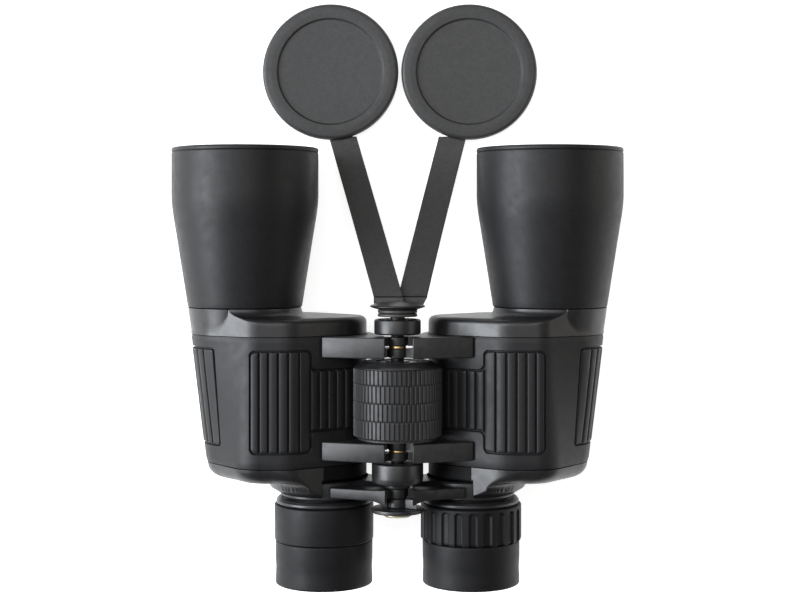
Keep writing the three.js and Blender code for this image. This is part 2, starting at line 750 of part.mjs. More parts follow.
for (const [name, side] of [['left', LEFT], ['right', RIGHT]]) {
  add(`${name}_armour`, housingShell(side, 0, ARMOUR_WALL), 'rubber');
  add(`${name}_prism_housing`, housingShell(side, ARMOUR_WALL + GAP, HOUSING_WALL), 'metal');
  add(`${name}_front_cover`, frontCover(side), 'satin');
  add(`${name}_rear_cover`, rearCover(side), 'satin');
  add(`${name}_objective_armour`, objectiveArmour(side), 'rubber');
  add(`${name}_objective_barrel`, objectiveBarrel(side), 'metal');
  add(`${name}_objective_cell`, objectiveCell(side), 'metal');
  add(`${name}_objective_lens`, atBarrel(lens(LENS_R, [CELL[0] - 3, CELL[1] + 2.3], 1.8), side), 'glass');
  add(`${name}_prism_shelf`, prismShelf(side), 'metal');
  add(`${name}_front_prism`, prism(side, EYEPIECE_X, 1), 'glass');
  add(`${name}_rear_prism`, prism(side, BARREL_X, -1), 'glass');
  const first = side === LEFT ? 'front' : 'rear';
  const second = side === LEFT ? 'rear' : 'front';
  add(`${name}_front_hinge_arm`, hingeArm(side, FRONT_ARM, halves(FRONT_ARM)[first]), 'satin');
  add(`${name}_rear_hinge_arm`, hingeArm(side, REAR_ARM, halves(REAR_ARM)[second]), 'satin');
  add(`${name}_field_lens`, atEyepiece(lens(TUBE_BORE_R - RUNNING, FIELD_LENS, 1.5), side), 'glass');
  add(`${name}_eyecup`, eyecup(side), 'rubber');
  add(`${name}_cap`, cap(side), 'cap');
  add(`${name}_strap`, strap(side), 'cap');
  add(`${name}_strap_ring`, strapRing(side), 'cap');
}

const [bossFront, bossMiddle, bossRear] = BRIDGE_BOSS;
add('left_bridge_arm', bridgeArm(LEFT, [bossFront, bossMiddle + 0.1]), 'satin');
add('right_bridge_arm', bridgeArm(RIGHT, [bossMiddle - 0.1, bossRear]), 'satin');
add('left_eyepiece_tube', eyepieceTube(LEFT, EYE_CELL.rear), 'metal');
add('right_eyepiece_tube', eyepieceTube(RIGHT, EYE_CELL.seat), 'metal');
add('left_eyepiece_sleeve', eyepieceSleeve(), 'rubber');
add('diopter_ring', diopterRing(), 'rubber');
const leftEyeLens = lens(TUBE_BORE_R - RUNNING, EYE_LENS, EYE_LENS_BULGE);
add('left_eye_lens', atEyepiece(leftEyeLens, LEFT), 'glass');
add('right_eye_cell', eyepieceCell(), 'metal');
const rightEyeLens = lens(EYE_CELL.seatR - RUNNING, EYE_LENS, EYE_LENS_BULGE);
add('right_eye_lens', atEyepiece(rightEyeLens, RIGHT), 'glass');

const axleSpan = [COLLAR_REAR + 1, REAR_COLLAR[0] - 0.8];
const socketSpan = [COLLAR_FRONT, COLLAR_REAR + 1.8];
add('hinge_axle', atHinge(tube(AXLE_R, AXLE_BORE_R, axleSpan, SMALL_ROUND)), 'steel');
add('front_hinge_washer', washer(FRONT_ARM), 'brass');
add('rear_hinge_washer', washer(REAR_ARM), 'brass');
add('front_collar', frontCollar(), 'satin');
add('tripod_socket', atHinge(tube(SOCKET_R + 1.2, SOCKET_R, socketSpan, SMALL_ROUND)), 'brass');
add('rear_collar', rearCollar(), 'satin');
add('focus_wheel', focusWheel(), 'satin');
add('focus_grip', focusGrip(), 'rubber');
add('focusing_spindle', focusingSpindle(), 'steel');
add('bridge_disc', atHinge(tube(DISC_R, END_SCREW.shankR + 0.2, DISC)), 'satin');
add('bridge_end_screw', endScrew(), 'brass');
add('tripod_plug', tripodPlug(), 'satin');

export default group;
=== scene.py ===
"""Porro-prism binoculars lying on a pale table, seen from straight above.

The CAD bodies give every position. Each visible node is replaced by a finer mesh built here, in
millimetres, and turned into metres when its object is made. The left barrel is the right one mirrored.
"""

import json
import math

import bmesh
import bpy
import numpy as np
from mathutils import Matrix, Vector


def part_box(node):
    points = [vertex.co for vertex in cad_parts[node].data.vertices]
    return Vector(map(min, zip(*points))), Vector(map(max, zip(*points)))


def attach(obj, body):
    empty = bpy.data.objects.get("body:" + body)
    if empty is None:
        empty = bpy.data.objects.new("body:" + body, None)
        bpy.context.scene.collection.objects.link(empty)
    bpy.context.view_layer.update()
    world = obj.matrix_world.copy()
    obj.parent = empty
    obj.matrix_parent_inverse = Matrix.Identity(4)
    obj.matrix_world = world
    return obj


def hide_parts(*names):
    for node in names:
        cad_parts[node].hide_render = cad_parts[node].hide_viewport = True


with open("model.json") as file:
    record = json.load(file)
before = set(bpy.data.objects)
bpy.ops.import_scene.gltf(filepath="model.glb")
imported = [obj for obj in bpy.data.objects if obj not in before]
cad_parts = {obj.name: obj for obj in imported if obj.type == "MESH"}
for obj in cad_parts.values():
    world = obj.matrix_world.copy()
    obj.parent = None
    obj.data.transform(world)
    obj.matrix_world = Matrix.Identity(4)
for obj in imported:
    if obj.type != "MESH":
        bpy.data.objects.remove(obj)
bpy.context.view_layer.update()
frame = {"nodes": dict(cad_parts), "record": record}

MM = 0.001
LEFT, RIGHT = -1, 1
SIDES = (("left", LEFT), ("right", RIGHT))
ROUND = 128  # segments round a large circle
TAU = 2 * math.pi


# ---------------------------------------------------------------- dimensions, from the CAD nodes


def box_mm(node):
    low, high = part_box(node)
    return np.array(low) / MM, np.array(high) / MM


def turned_box(node):
    """(axis x, axis z, radius, front, rear) of a node that is round about a line along Y."""
    low, high = box_mm(node)
    x, _, z = (low + high) / 2
    return x, z, (high[0] - low[0]) / 2, high[1], low[1]


BARREL_X, OPTIC_Z, MOUTH_R, TUBE_FRONT, TUBE_REAR = turned_box("right_objective_armour")
EYE_X = turned_box("right_eyecup")[0]
HINGE_Z = turned_box("front_collar")[1]
ARMOUR_REAR, ARMOUR_FRONT = (corner[1] for corner in box_mm("right_armour"))
PLATE_FRONT, PLATE_REAR = -11.4, -77.8  # the flat faces of the front and rear covers


# ---------------------------------------------------------------- materials


NOISE_ROUGHNESS = 0.55
COAT_IOR = 1.38  # of the film on coated glass
DUST = (0.13, 0.128, 0.125)


class Surface:
    """Builds one material's nodes, all of them fed by the object's own coordinates in metres."""

    def __init__(self, name, roughness, metallic=0.0, specular=0.5, **shader):
        self.material = bpy.data.materials.new(name)
        self.material.use_nodes = True
        self.tree = self.material.node_tree
        self.shader = self.tree.nodes["Principled BSDF"]
        self.place = self.add("ShaderNodeTexCoord").outputs["Object"]
        self.shader.inputs["Roughness"].default_value = roughness
        self.shader.inputs["Metallic"].default_value = metallic
        self.shader.inputs["Specular IOR Level"].default_value = specular
        for socket, value in shader.items():
            self.shader.inputs[socket].default_value = value
        self.bumped = None

    def add(self, kind, inputs=None, **settings):
        """A node with its settings and inputs, each input a value or another node's output."""
        node = self.tree.nodes.new(kind)
        for key, value in settings.items():
            setattr(node, key, value)
        for socket, value in (inputs or {}).items():
            if isinstance(value, bpy.types.NodeSocket):
                self.link(value, node.inputs[socket])
            else:
                node.inputs[socket].default_value = value
        return node

    def link(self, source, target):
        self.tree.links.new(source, target)

    def noise(self, size_mm, detail=3.0, along=(1, 1, 1)):
        """A noise whose features are about size_mm across, or longer where along is under 1."""
        mapping = self.add("ShaderNodeMapping", {"Vector": self.place, "Scale": along})
        return self.add("ShaderNodeTexNoise", {
            "Scale": 1 / (size_mm * MM), "Detail": detail, "Roughness": NOISE_ROUGHNESS,
            "Vector": mapping.outputs["Vector"],
        }).outputs["Fac"]

    def ramp(self, factor, low, high, start=0.3, end=0.7):
        node = self.add("ShaderNodeValToRGB", {"Fac": factor})
        for element, place, colour in zip(node.color_ramp.elements, (start, end), (low, high)):
            element.position = place
            element.color = (*colour, 1)
        return node.outputs["Color"]

    def spread(self, factor, low, high, start=0.3, end=0.7):
        return self.add("ShaderNodeMapRange", {
            "Value": factor, "From Min": start, "From Max": end, "To Min": low, "To Max": high,
        }).outputs["Result"]

    def mix(self, factor, base, other):
        """Mixes a constant colour into the colour that comes from a socket."""
        node = self.add("ShaderNodeMix", {"Factor": factor, "A": base, "B": (*other, 1)}, data_type="RGBA")
        return node.outputs["Result"]

    def colour(self, socket):
        self.link(socket, self.shader.inputs["Base Color"])

    def roughness(self, socket):
        self.link(socket, self.shader.inputs["Roughness"])

    def bump(self, height, depth_mm, strength=1.0):
        inputs = {"Strength": strength, "Distance": depth_mm * MM, "Height": height}
        if self.bumped:
            inputs["Normal"] = self.bumped
        self.bumped = self.add("ShaderNodeBump", inputs).outputs["Normal"]
        self.link(self.bumped, self.shader.inputs["Normal"])

    def worn_edges(self, base, wear_and_highlight, amount):
        """Mixes a lighter colour into base where the surface is sharply convex, broken up by noise: rubbed
        wear and a painted highlight on the edges.
        """
        geometry = self.add("ShaderNodeNewGeometry")
        sharp = self.spread(geometry.outputs["Pointiness"], 0, amount, 0.53, 0.62)
        patches = self.spread(self.noise(2.5, 4), 0, 1, 0.45, 0.6)
        both = self.add("ShaderNodeMath", {0: sharp, 1: patches}, operation="MULTIPLY")
        return self.mix(both.outputs[0], base, wear_and_highlight)


def rubber(name, tone, roughness, specular, grain_mm=0.3, depth_mm=0.02, dust=0.0):
    """Moulded rubber: a fine grain, a slow colour drift, and a little dust."""
    s = Surface(name, roughness, specular=specular)
    dark, light = (tuple(c * share for c in tone) for share in (0.88, 1.12))
    colour = s.ramp(s.noise(1.2, 3), dark, light, 0.35, 0.65)
    if dust:
        specks = s.spread(s.noise(0.45, 2), 0, dust, 0.7, 0.76)
        colour = s.mix(specks, colour, DUST)
    # sharp edges are made lighter: rubbed wear and a painted highlight
    s.colour(s.worn_edges(colour, tuple(c * 2 for c in tone), 0.3))
    s.roughness(s.spread(s.noise(4, 4), roughness - 0.05, roughness + 0.05))
    s.bump(s.noise(grain_mm, 2), depth_mm)
    s.bump(s.noise(11, 2), 0.04, 0.5)
    return s.material


def painted(name, tone, roughness, specular, grain_mm=0.5, depth_mm=0.006):
    """Paint on a casting: a faint orange peel, and edges a little lighter, both rubbed wear and painted
    highlight.
    """
    s = Surface(name, roughness, specular=specular)
    dark, light = (tuple(c * share for c in tone) for share in (0.85, 1.15))
    s.colour(s.worn_edges(s.ramp(s.noise(2.2, 3), dark, light), tuple(c * 4 for c in tone), 0.35))
    s.roughness(s.spread(s.noise(5, 5), roughness - 0.05, roughness + 0.06))
    s.bump(s.noise(grain_mm, 2), depth_mm)
    return s.material


def metal(name, colour, darker, roughness, brushed):
    """Turned metal with fine marks, whose noise is scaled by brushed along X, Y and Z."""
    s = Surface(name, roughness, metallic=1.0)
    s.colour(s.ramp(s.noise(3, 4), darker, colour))
    s.roughness(s.spread(s.noise(0.6, 3, brushed), roughness - 0.08, roughness + 0.1))
    s.bump(s.noise(0.3, 2, brushed), 0.004)
    return s.material


def glass(name, tint, film_nm):
    """Coated optical glass, with the faintest smear on it."""
    s = Surface(name, 0.02, **{"Transmission Weight": 1.0, "IOR": 1.52})
    s.shader.inputs["Thin Film Thickness"].default_value = film_nm
    s.shader.inputs["Thin Film IOR"].default_value = COAT_IOR
    s.colour(s.ramp(s.noise(20, 2), tint, tuple(min(1, c * 1.05) for c in tint)))
    s.roughness(s.spread(s.noise(6, 5), 0.0, 0.05, 0.45, 0.75))
    return s.material


BLACK = (0.0085, 0.0085, 0.0095)
CHARCOAL = (0.0105, 0.0105, 0.0115)
GREY = (0.036, 0.036, 0.0365)
MATERIALS = {
    "armour_rubber": rubber("armour_rubber", CHARCOAL, 0.48, 0.3, dust=0.12),
    "tube_rubber": rubber("tube_rubber", BLACK, 0.46, 0.28, 0.3, 0.018, dust=0.16),
    "grip_rubber": rubber("grip_rubber", (0.014, 0.014, 0.015), 0.48, 0.5, 0.25, 0.01),
    "eyecup_rubber": rubber("eyecup_rubber", (0.007, 0.007, 0.008), 0.5, 0.2, dust=0.12),
    "cap_rubber": rubber("cap_rubber", GREY, 0.5, 0.42, 0.22, 0.012, dust=0.12),
    "strap_rubber": rubber("strap_rubber", (0.040, 0.038, 0.037), 0.55, 0.45, 0.25, 0.012, dust=0.1),
    "satin_black": painted("satin_black", (0.0095, 0.0095, 0.0105), 0.36, 0.5),
    "grained_black": painted("grained_black", (0.017, 0.017, 0.0175), 0.4, 0.5, 0.28, 0.03),
    # near-black matt paint laid on the inner rear plate as painted shade
    "black_casting": painted("black_casting", (0.004, 0.004, 0.0042), 0.6, 0.12),
    "bright_steel": metal("bright_steel", (0.5, 0.5, 0.51), (0.34, 0.34, 0.35), 0.28, (1, 0.1, 1)),
    # near-black steel for the hinge axle: painted shade that keeps the gaps beside the knuckles dark
    "axle_shade_steel": metal("axle_shade_steel", (0.03, 0.03, 0.034), (0.015, 0.015, 0.017), 0.4, (1, 0.1, 1)),
    "brass": metal("brass", (0.78, 0.56, 0.27), (0.6, 0.42, 0.18), 0.32, (1, 4, 1)),
    "dull_brass": metal("dull_brass", (0.5, 0.45, 0.33), (0.36, 0.32, 0.24), 0.4, (1, 4, 1)),
    "coated_glass": glass("coated_glass", (0.9, 0.92, 1.0), 420),
    "prism_glass": glass("prism_glass", (0.92, 0.97, 0.95), 200),
}
SLOTS = {row["node"]: row["material_slot"] for row in frame["record"]["subparts"]}
BODIES = {node: body for body, nodes in frame["record"]["behaviour"]["bodies"].items() for node in nodes}


# ---------------------------------------------------------------- mesh helpers


def make_object(name, verts, faces, sharp_degrees=32):
    """An object of one closed mesh, from points in millimetres, its faces turned outwards."""
    mesh = bpy.data.meshes.new(name)
    mesh.from_pydata([tuple(v) for v in np.asarray(verts, float) * MM], [], faces)
    bm = bmesh.new()
    bm.from_mesh(mesh)
    bmesh.ops.remove_doubles(bm, verts=bm.verts, dist=2e-6)
    bmesh.ops.dissolve_degenerate(bm, dist=1e-6, edges=bm.edges)
    bmesh.ops.recalc_face_normals(bm, faces=bm.faces)
    bm.to_mesh(mesh)
    bm.free()
    finish_mesh(mesh, sharp_degrees)
    obj = bpy.data.objects.new(name, mesh)
    bpy.context.scene.collection.objects.link(obj)
    return obj


def finish_mesh(mesh, sharp_degrees):
    mesh.shade_smooth()
    mesh.set_sharp_from_angle(angle=math.radians(sharp_degrees))


def stand_for(obj, node, material=None):
    """obj takes the CAD node's place, body, slot and material."""
    slot = SLOTS[node]
    obj.data.materials.clear()
    obj.data.materials.append(MATERIALS[material or slot])
    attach(obj, BODIES[node])
    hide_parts(node)
    return obj


def with_modifier(obj, kind, **settings):
    """Adds a modifier and applies it to the mesh."""
    modifier = obj.modifiers.new("step", kind)
    for key, value in settings.items():
        setattr(modifier, key, value)
    graph = bpy.context.evaluated_depsgraph_get()
    made = bpy.data.meshes.new_from_object(obj.evaluated_get(graph))
    obj.modifiers.clear()
    old, obj.data = obj.data, made
    bpy.data.meshes.remove(old)
    return obj


def joined(obj, other, operation="UNION"):
    """The boolean of two objects, left in the first; the second is removed."""
    with_modifier(obj, "BOOLEAN", operation=operation, object=other, solver="EXACT")
    bpy.data.objects.remove(other, do_unlink=True)
    return obj


def bevelled(obj, width_mm, segments=3, degrees=30):
    with_modifier(
        obj, "BEVEL", width=width_mm * MM, segments=segments, limit_method="ANGLE",
        angle_limit=math.radians(degrees), use_clamp_overlap=True,
    )
    return obj


def fillet(corners, steps=5, loop=False):
    """A polyline or a loop through (a, b, radius) corners, each rounded by an arc of its radius."""
    points = []
    count = len(corners)
    for i, (a, b, radius) in enumerate(corners):
        here = np.array((a, b), float)
        if radius <= 0 or not loop and i in (0, count - 1):
            points.append(here)
            continue
        u, v = (np.array(corners[k % count][:2], float) - here for k in (i - 1, i + 1))
        lu, lv = np.linalg.norm(u), np.linalg.norm(v)
        u, v = u / lu, v / lv
        half = math.acos(np.clip(np.dot(u, v), -1, 1)) / 2
        if half < 1e-3 or half > math.pi / 2 - 1e-3:
            points.append(here)
            continue
        reach = min(radius / math.tan(half), 0.49 * lu, 0.49 * lv)
        r = reach * math.tan(half)
        start, end = here + u * reach, here + v * reach
        centre = here + (u + v) / np.linalg.norm(u + v) * (r / math.sin(half))
        a0, a1 = (math.atan2(*(p - centre)[::-1]) for p in (start, end))
        turn = (a1 - a0 + math.pi) % TAU - math.pi
        for k in range(steps + 1):
            angle = a0 + turn * k / steps
            points.append(centre + r * np.array((math.cos(angle), math.sin(angle))))
    return points


def grid_faces(rows, columns, wrap_columns=True, wrap_rows=False):
    faces = []
    for i in range(rows if wrap_rows else rows - 1):
        for j in range(columns if wrap_columns else columns - 1):
            k = (j + 1) % columns
            n = (i + 1) % rows
            faces.append((i * columns + j, n * columns + j, n * columns + k, i * columns + k))
    return faces


def turned(name, corners, x, z, segments=ROUND, steps=5):
    """A solid turned about the line along Y through (x, z), from a profile of (radius, y, fillet) corners.

    A profile that starts on the axis ends on it too. Any other is closed into a ring.
    """
    is_ring = corners[0][0] > 0
    profile = fillet(corners, steps, loop=is_ring)
    verts = [v for radius, y in profile for v in ring_verts(x, y, z, [radius] * segments)]
    return make_object(name, verts, grid_faces(len(profile), segments, wrap_rows=is_ring))


def ring_verts(x, y, z, radii):
    """Points round the line along Y through (x, z), one for each radius."""
    angles = [TAU * j / len(radii) for j in range(len(radii))]
    return [(x + r * math.cos(angle), y, z + r * math.sin(angle)) for r, angle in zip(radii, angles)]


def turned_piece(name, corners, x, z, segments=ROUND, steps=5, material=None):
    """A turned solid that stands for the CAD node of its name."""
    return stand_for(turned(name, corners, x, z, segments, steps), name, material)


def lofted(name, outlines, sharp_degrees):
    """A solid through outlines that have the same number of points, closed by the first and the last."""
    count = len(outlines[0])
    verts = [v for outline in outlines for v in outline]
    faces = grid_faces(len(outlines), count)
    faces += [tuple(range(count - 1, -1, -1)), tuple(range(len(verts) - count, len(verts)))]
    return make_object(name, verts, faces, sharp_degrees)


def prism_faces(count):
    """The faces of a prism whose points are its first outline's, then its second's."""
    faces = [tuple(range(count)), tuple(range(2 * count - 1, count - 1, -1))]
    return faces + [(i, count + i, count + (i + 1) % count, (i + 1) % count) for i in range(count)]


def extruded(name, outline, front, rear):
    """A plate whose outline of (x, z) points is extruded along Y."""
    count = len(outline)
    verts = [(x, y, z) for y in (front, rear) for x, z in outline]
    return make_object(name, verts, prism_faces(count))


# ---------------------------------------------------------------- the housing's section

OUTER_R, INNER_R, CORNER_R = 22.3, 17.7, 15.5
CORNER_X, TOP_CORNER_Z, KEEL_HALF_WIDTH = 47.0, HINGE_Z - 8, 4.0
TAPER_SLOPE = 0.12
KEEL_Z = CORNER_R
BROW_X, BROW_R = 55.2, 13.0  # the top runs level from its corner to here


def section_circles(outer_r, inset=0.0):
    """The circles that the section is wrapped round, counter-clockwise from the top corner, (x, z, r)."""
    return [
        (CORNER_X, TOP_CORNER_Z, CORNER_R - inset),
        (EYE_X, OPTIC_Z, INNER_R - inset),
        (CORNER_X - KEEL_HALF_WIDTH, KEEL_Z, CORNER_R - inset),
        (CORNER_X + KEEL_HALF_WIDTH, KEEL_Z, CORNER_R - inset),
        (BARREL_X, OPTIC_Z, outer_r - inset),
        (BROW_X, TOP_CORNER_Z + CORNER_R - BROW_R, BROW_R - inset),
    ]


def tangent_angle(first, second):
    """The direction of the normal of the line that touches both circles on their outer side."""
    (x0, z0, r0), (x1, z1, r1) = first, second
    along = math.atan2(z1 - z0, x1 - x0)
    lean = math.acos(np.clip((r0 - r1) / math.hypot(x1 - x0, z1 - z0), -1, 1))
    return along - lean


class Section:
    """The housing's outline at one outer radius: points, normal angles and distances along it.

    The distances start on the level top, between the corner and the brow, and run down the inner end,
    along the underside and back over the outer flank.
    """

    def __init__(self, outer_r, inset=0.0, steps=90):
        circles = section_circles(outer_r, inset)
        count = len(circles)
        normals = [tangent_angle(circles[i], circles[(i + 1) % count]) for i in range(count)]
        start = math.pi / 2
        angles, points = [start], [((CORNER_X + BROW_X) / 2, TOP_CORNER_Z + CORNER_R - inset)]
        for i, (x, z, r) in enumerate(circles):
            before, after = normals[i - 1], normals[i]
            before = angles[-1] + (before - angles[-1] + math.pi) % TAU - math.pi
            turn = (after - before) % TAU
            for k in range(steps + 1):
                angle = before + turn * k / steps
                angles.append(angle)
                points.append((x + r * math.cos(angle), z + r * math.sin(angle)))
        angles.append(start + TAU)
        points.append(points[0])
        self.points, self.angles = np.array(points), np.array(angles)
        self.along = np.concatenate([[0], np.cumsum(np.linalg.norm(np.diff(self.points, axis=0), axis=1))])
        edge_x = BARREL_X + outer_r * math.cos(FLANK_ANGLES[0])
        self.keys = np.array([
            0, self.place_of_x(KEPT_X, False), self.place_of_x(edge_x, False), self.place_of_x(edge_x, True),
            self.place_of_x(KEPT_X, True), self.along[-1],
        ])

    def place_of_x(self, x, top):
        """Where the top or the underside reaches this x."""
        places = np.linspace(0, self.along[-1], 6001)
        xs, zs = (np.interp(places, self.along, self.points[:, k]) for k in (0, 1))
        wanted = zs > OPTIC_Z if top else zs < OPTIC_Z
        return float(places[np.argmin(np.where(wanted, abs(xs - x), 1e9))])

    def place_of_flank(self, angle):
        """Where the surface's normal leans this far up from the outer flank."""
        return float(np.interp(TAU + angle, self.angles, self.along))

    def at(self, places):
        """Points and outward normals at distances along this outline."""
        places = np.mod(places, self.along[-1])
        x, z = (np.interp(places, self.along, self.points[:, k]) for k in (0, 1))
        angle = np.interp(places, self.along, self.angles)
        return np.stack([x, z], 1), np.stack([np.cos(angle), np.sin(angle)], 1)

    def matching(self, places):
        """The places on this outline that lie behind places on the outline at the housing's front."""
        return np.interp(np.mod(places, FRONT_SECTION.along[-1]), FRONT_SECTION.keys, self.keys)


KEPT_X = 60.5  # ribs inside this x stay straight as the flank tapers
FLANK_ANGLES = np.radians((59.5, 43.5, 31, 18.5, 6))  # grooves of the outer panel, above the flank's middle
FRONT_SECTION = Section(OUTER_R, steps=400)
PERIMETER = float(FRONT_SECTION.along[-1])


def outer_r_at(y):
    return OUTER_R - TAPER_SLOPE * (ARMOUR_FRONT - y)


# ---------------------------------------------------------------- rubber armour with rib panels

GROOVE_WIDTH, GROOVE_DEPTH = 0.95, 1.0
RIB_CROWN, RIB_SHOULDER = 0.22, 1.2  # a rib rises by its crown within its shoulder
ARMOUR_WALL = 1.6
PANEL_CORNER = 2.2
RIBS = 6
MAIN_X = (34.8, 58.9)
MAIN_Y = (-65.2, -24.4)
INNER_Y = (-56.8, -32.4)
OUTER_Y = (-63.4, -23.9)
INNER_RIB_WIDTH = 3.9


def main_groove_xs():
    """The x of each groove of the main panel, from its outer edge to its inner one."""
    low, high = MAIN_X
    return [high - (high - low) * i / RIBS + 0.7 * math.sin(math.pi * i / RIBS) for i in range(RIBS + 1)]


def rounded_box(s, y, s_range, y_range, corner):
    """Signed distance to a rectangle with round corners."""
    cs, cy = sum(s_range) / 2, sum(y_range) / 2
    hs, hy = (s_range[1] - s_range[0]) / 2 - corner, (y_range[1] - y_range[0]) / 2 - corner
    qs, qy = np.abs(s - cs) - hs, np.abs(y - cy) - hy
    outside = np.hypot(np.maximum(qs, 0), np.maximum(qy, 0))
    return outside + np.minimum(np.maximum(qs, qy), 0) - corner


def segment_distance(s, y, at, y_range):
    return np.hypot(s - at, np.maximum(np.maximum(y_range[0] - y, y - y_range[1]), 0))


def smooth_union(first, second, reach):
    blend = np.clip(0.5 + 0.5 * (second - first) / reach, 0, 1)
    return second * (1 - blend) + first * blend - reach * blend * (1 - blend)


def panel_layout():
    """The panels' spans along the section and the places of the grooves between their ribs."""
    xs = main_groove_xs()
    top = [FRONT_SECTION.place_of_x(x, True) for x in xs]
    top = [place - PERIMETER if place > PERIMETER / 2 else place for place in top]
    under = [FRONT_SECTION.place_of_x(x, False) for x in xs]
    flank = [FRONT_SECTION.place_of_flank(angle) for angle in (*-FLANK_ANGLES, *FLANK_ANGLES[::-1])]
    inner_count = round((under[-1] - top[-1]) / INNER_RIB_WIDTH)
    inner = list(np.linspace(top[-1], under[-1], inner_count + 1))
    return top, inner, under, flank


def groove_distance(s, y, layout):
    """The distance from each point (s, y) to the nearest groove, and whether it is on a panel."""
    top, inner, under, flank = layout
    mains = [(min(g), max(g)) for g in (top, under)]
    inner_span = (inner[0] - 1, inner[-1] + 1)
    body = smooth_union(rounded_box(s, y, mains[0], MAIN_Y, PANEL_CORNER),
                        rounded_box(s, y, inner_span, INNER_Y, 0.5), 2.4)
    body = smooth_union(body, rounded_box(s, y, mains[1], MAIN_Y, PANEL_CORNER), 2.4)
    distance = np.abs(body)
    for group in (top[1:-1], under[1:-1]):
        for at in group:
            distance = np.minimum(distance, segment_distance(s, y, at, MAIN_Y))
    for at in inner:
        distance = np.minimum(distance, segment_distance(s, y, at, INNER_Y))
    flank_box = rounded_box(s, y, (flank[0], flank[-1]), OUTER_Y, 1.2)
    distance = np.minimum(distance, np.abs(flank_box))
    for at in flank[1:-1]:
        distance = np.minimum(distance, segment_distance(s, y, at, OUTER_Y))
    return distance, np.minimum(body, flank_box) < 0


GROOVE_SAMPLES = (-0.75, -0.52, -0.36, -0.16, 0, 0.16, 0.36, 0.52, 0.75)  # shares of its width


def lines_near(marks, corner_marks, low, high, step):
    """Grid lines from low to high: evenly spaced, close together at the marks and near the corners."""
    lines = list(np.arange(low, high, step)) + [high]
    for mark in marks:
        lines += [mark + share * GROOVE_WIDTH for share in GROOVE_SAMPLES]
    for mark in corner_marks:
        lines += list(mark + np.arange(-2.7, 2.71, 0.3))
    lines = np.unique(np.round([v for v in lines if low <= v <= high], 3))
    keep = [lines[0]]
    for v in lines[1:]:
        if v - keep[-1] > 0.1:
            keep.append(v)
    keep[-1] = lines[-1]
    return np.array(keep)


def armour(name, side):
    layout = panel_layout()
    top, inner, under, flank = layout
    seam = (flank[-1] + top[0] + PERIMETER) / 2 - PERIMETER  # the grid's seam lies between two panels
    marks = [*top, *inner, *under, *flank]
    ends = [top[0], top[-1], under[0], under[-1], flank[0], flank[-1]]
    columns = lines_near(marks, ends, seam, seam + PERIMETER, 1.3)[:-1]
    y_marks = [*MAIN_Y, *INNER_Y, *OUTER_Y]
    rows = lines_near(y_marks, y_marks, ARMOUR_REAR, ARMOUR_FRONT, 1.6)[::-1]
    distance, on_panel = groove_distance(*np.meshgrid(columns, rows), layout)
    cut = GROOVE_DEPTH * np.clip(1 - (distance / (GROOVE_WIDTH / 2)) ** 2.5, 0, 1)
    rise = np.clip((distance - GROOVE_WIDTH / 2) / RIB_SHOULDER, 0, 1)
    cut -= on_panel * RIB_CROWN * (1 - (1 - rise) ** 2)
    verts = []
    for i, y in enumerate(rows):
        section = Section(outer_r_at(y))
        points, normals = section.at(section.matching(columns))
        end = min(ARMOUR_FRONT - y, y - ARMOUR_REAR)
        ease = 0.35 * max(0.0, 1 - end / 0.5) ** 2  # the two ends are rolled in a little
        placed = points - normals * (cut[i] + ease)[:, None]
        verts += [(side * x, y, z) for x, z in placed]
    for y in (rows[-1], rows[0]):
        section = Section(outer_r_at(y), ARMOUR_WALL)
        outer = Section(outer_r_at(y))
        points, _ = section.at(outer.matching(columns) * section.along[-1] / outer.along[-1])
        verts += [(side * x, y, z) for x, z in points]
    faces = grid_faces(len(rows) + 2, len(columns), wrap_rows=True)
    return stand_for(make_object(name, verts, faces, 60), name)


# ---------------------------------------------------------------- covers

COVER_POINTS = 760
REAR_OUTLINE_Y = -75  # the rear cover keeps the housing's outline as it is here


def cover(name, side, outline_y, axis_x, profile_at):
    """A solid between the housing's outline at outline_y and a bore round axis_x.

    profile_at(reach, across) gives the (radius, y) points of its section in one direction, where reach
    is the distance to the outline and across is the direction's share along X.
    """
    section = Section(outer_r_at(outline_y))
    outline = section.at(np.linspace(0, section.along[-1], COVER_POINTS, endpoint=False))[0]
    columns = []
    for px, pz in outline:
        dx, dz = px - axis_x, pz - OPTIC_Z
        reach = math.hypot(dx, dz)
        dx, dz = dx / reach, dz / reach
        columns.append([(side * (axis_x + r * dx), y, OPTIC_Z + r * dz) for r, y in profile_at(reach, dx)])
    verts = [v for row in zip(*columns) for v in row]
    faces = grid_faces(len(columns[0]), COVER_POINTS, wrap_rows=True)
    return stand_for(make_object(name, verts, faces, 38), name)


def rounded_edge(reach, face_y, edge, back):
    """A quarter circle from the side of a plate to its face; back is the way from the face to its back."""
    angles = [math.pi / 2 * k / 8 for k in range(1, 9)]
    return [(reach - edge * (1 - math.cos(a)), face_y + back * edge * (1 - math.sin(a))) for a in angles]


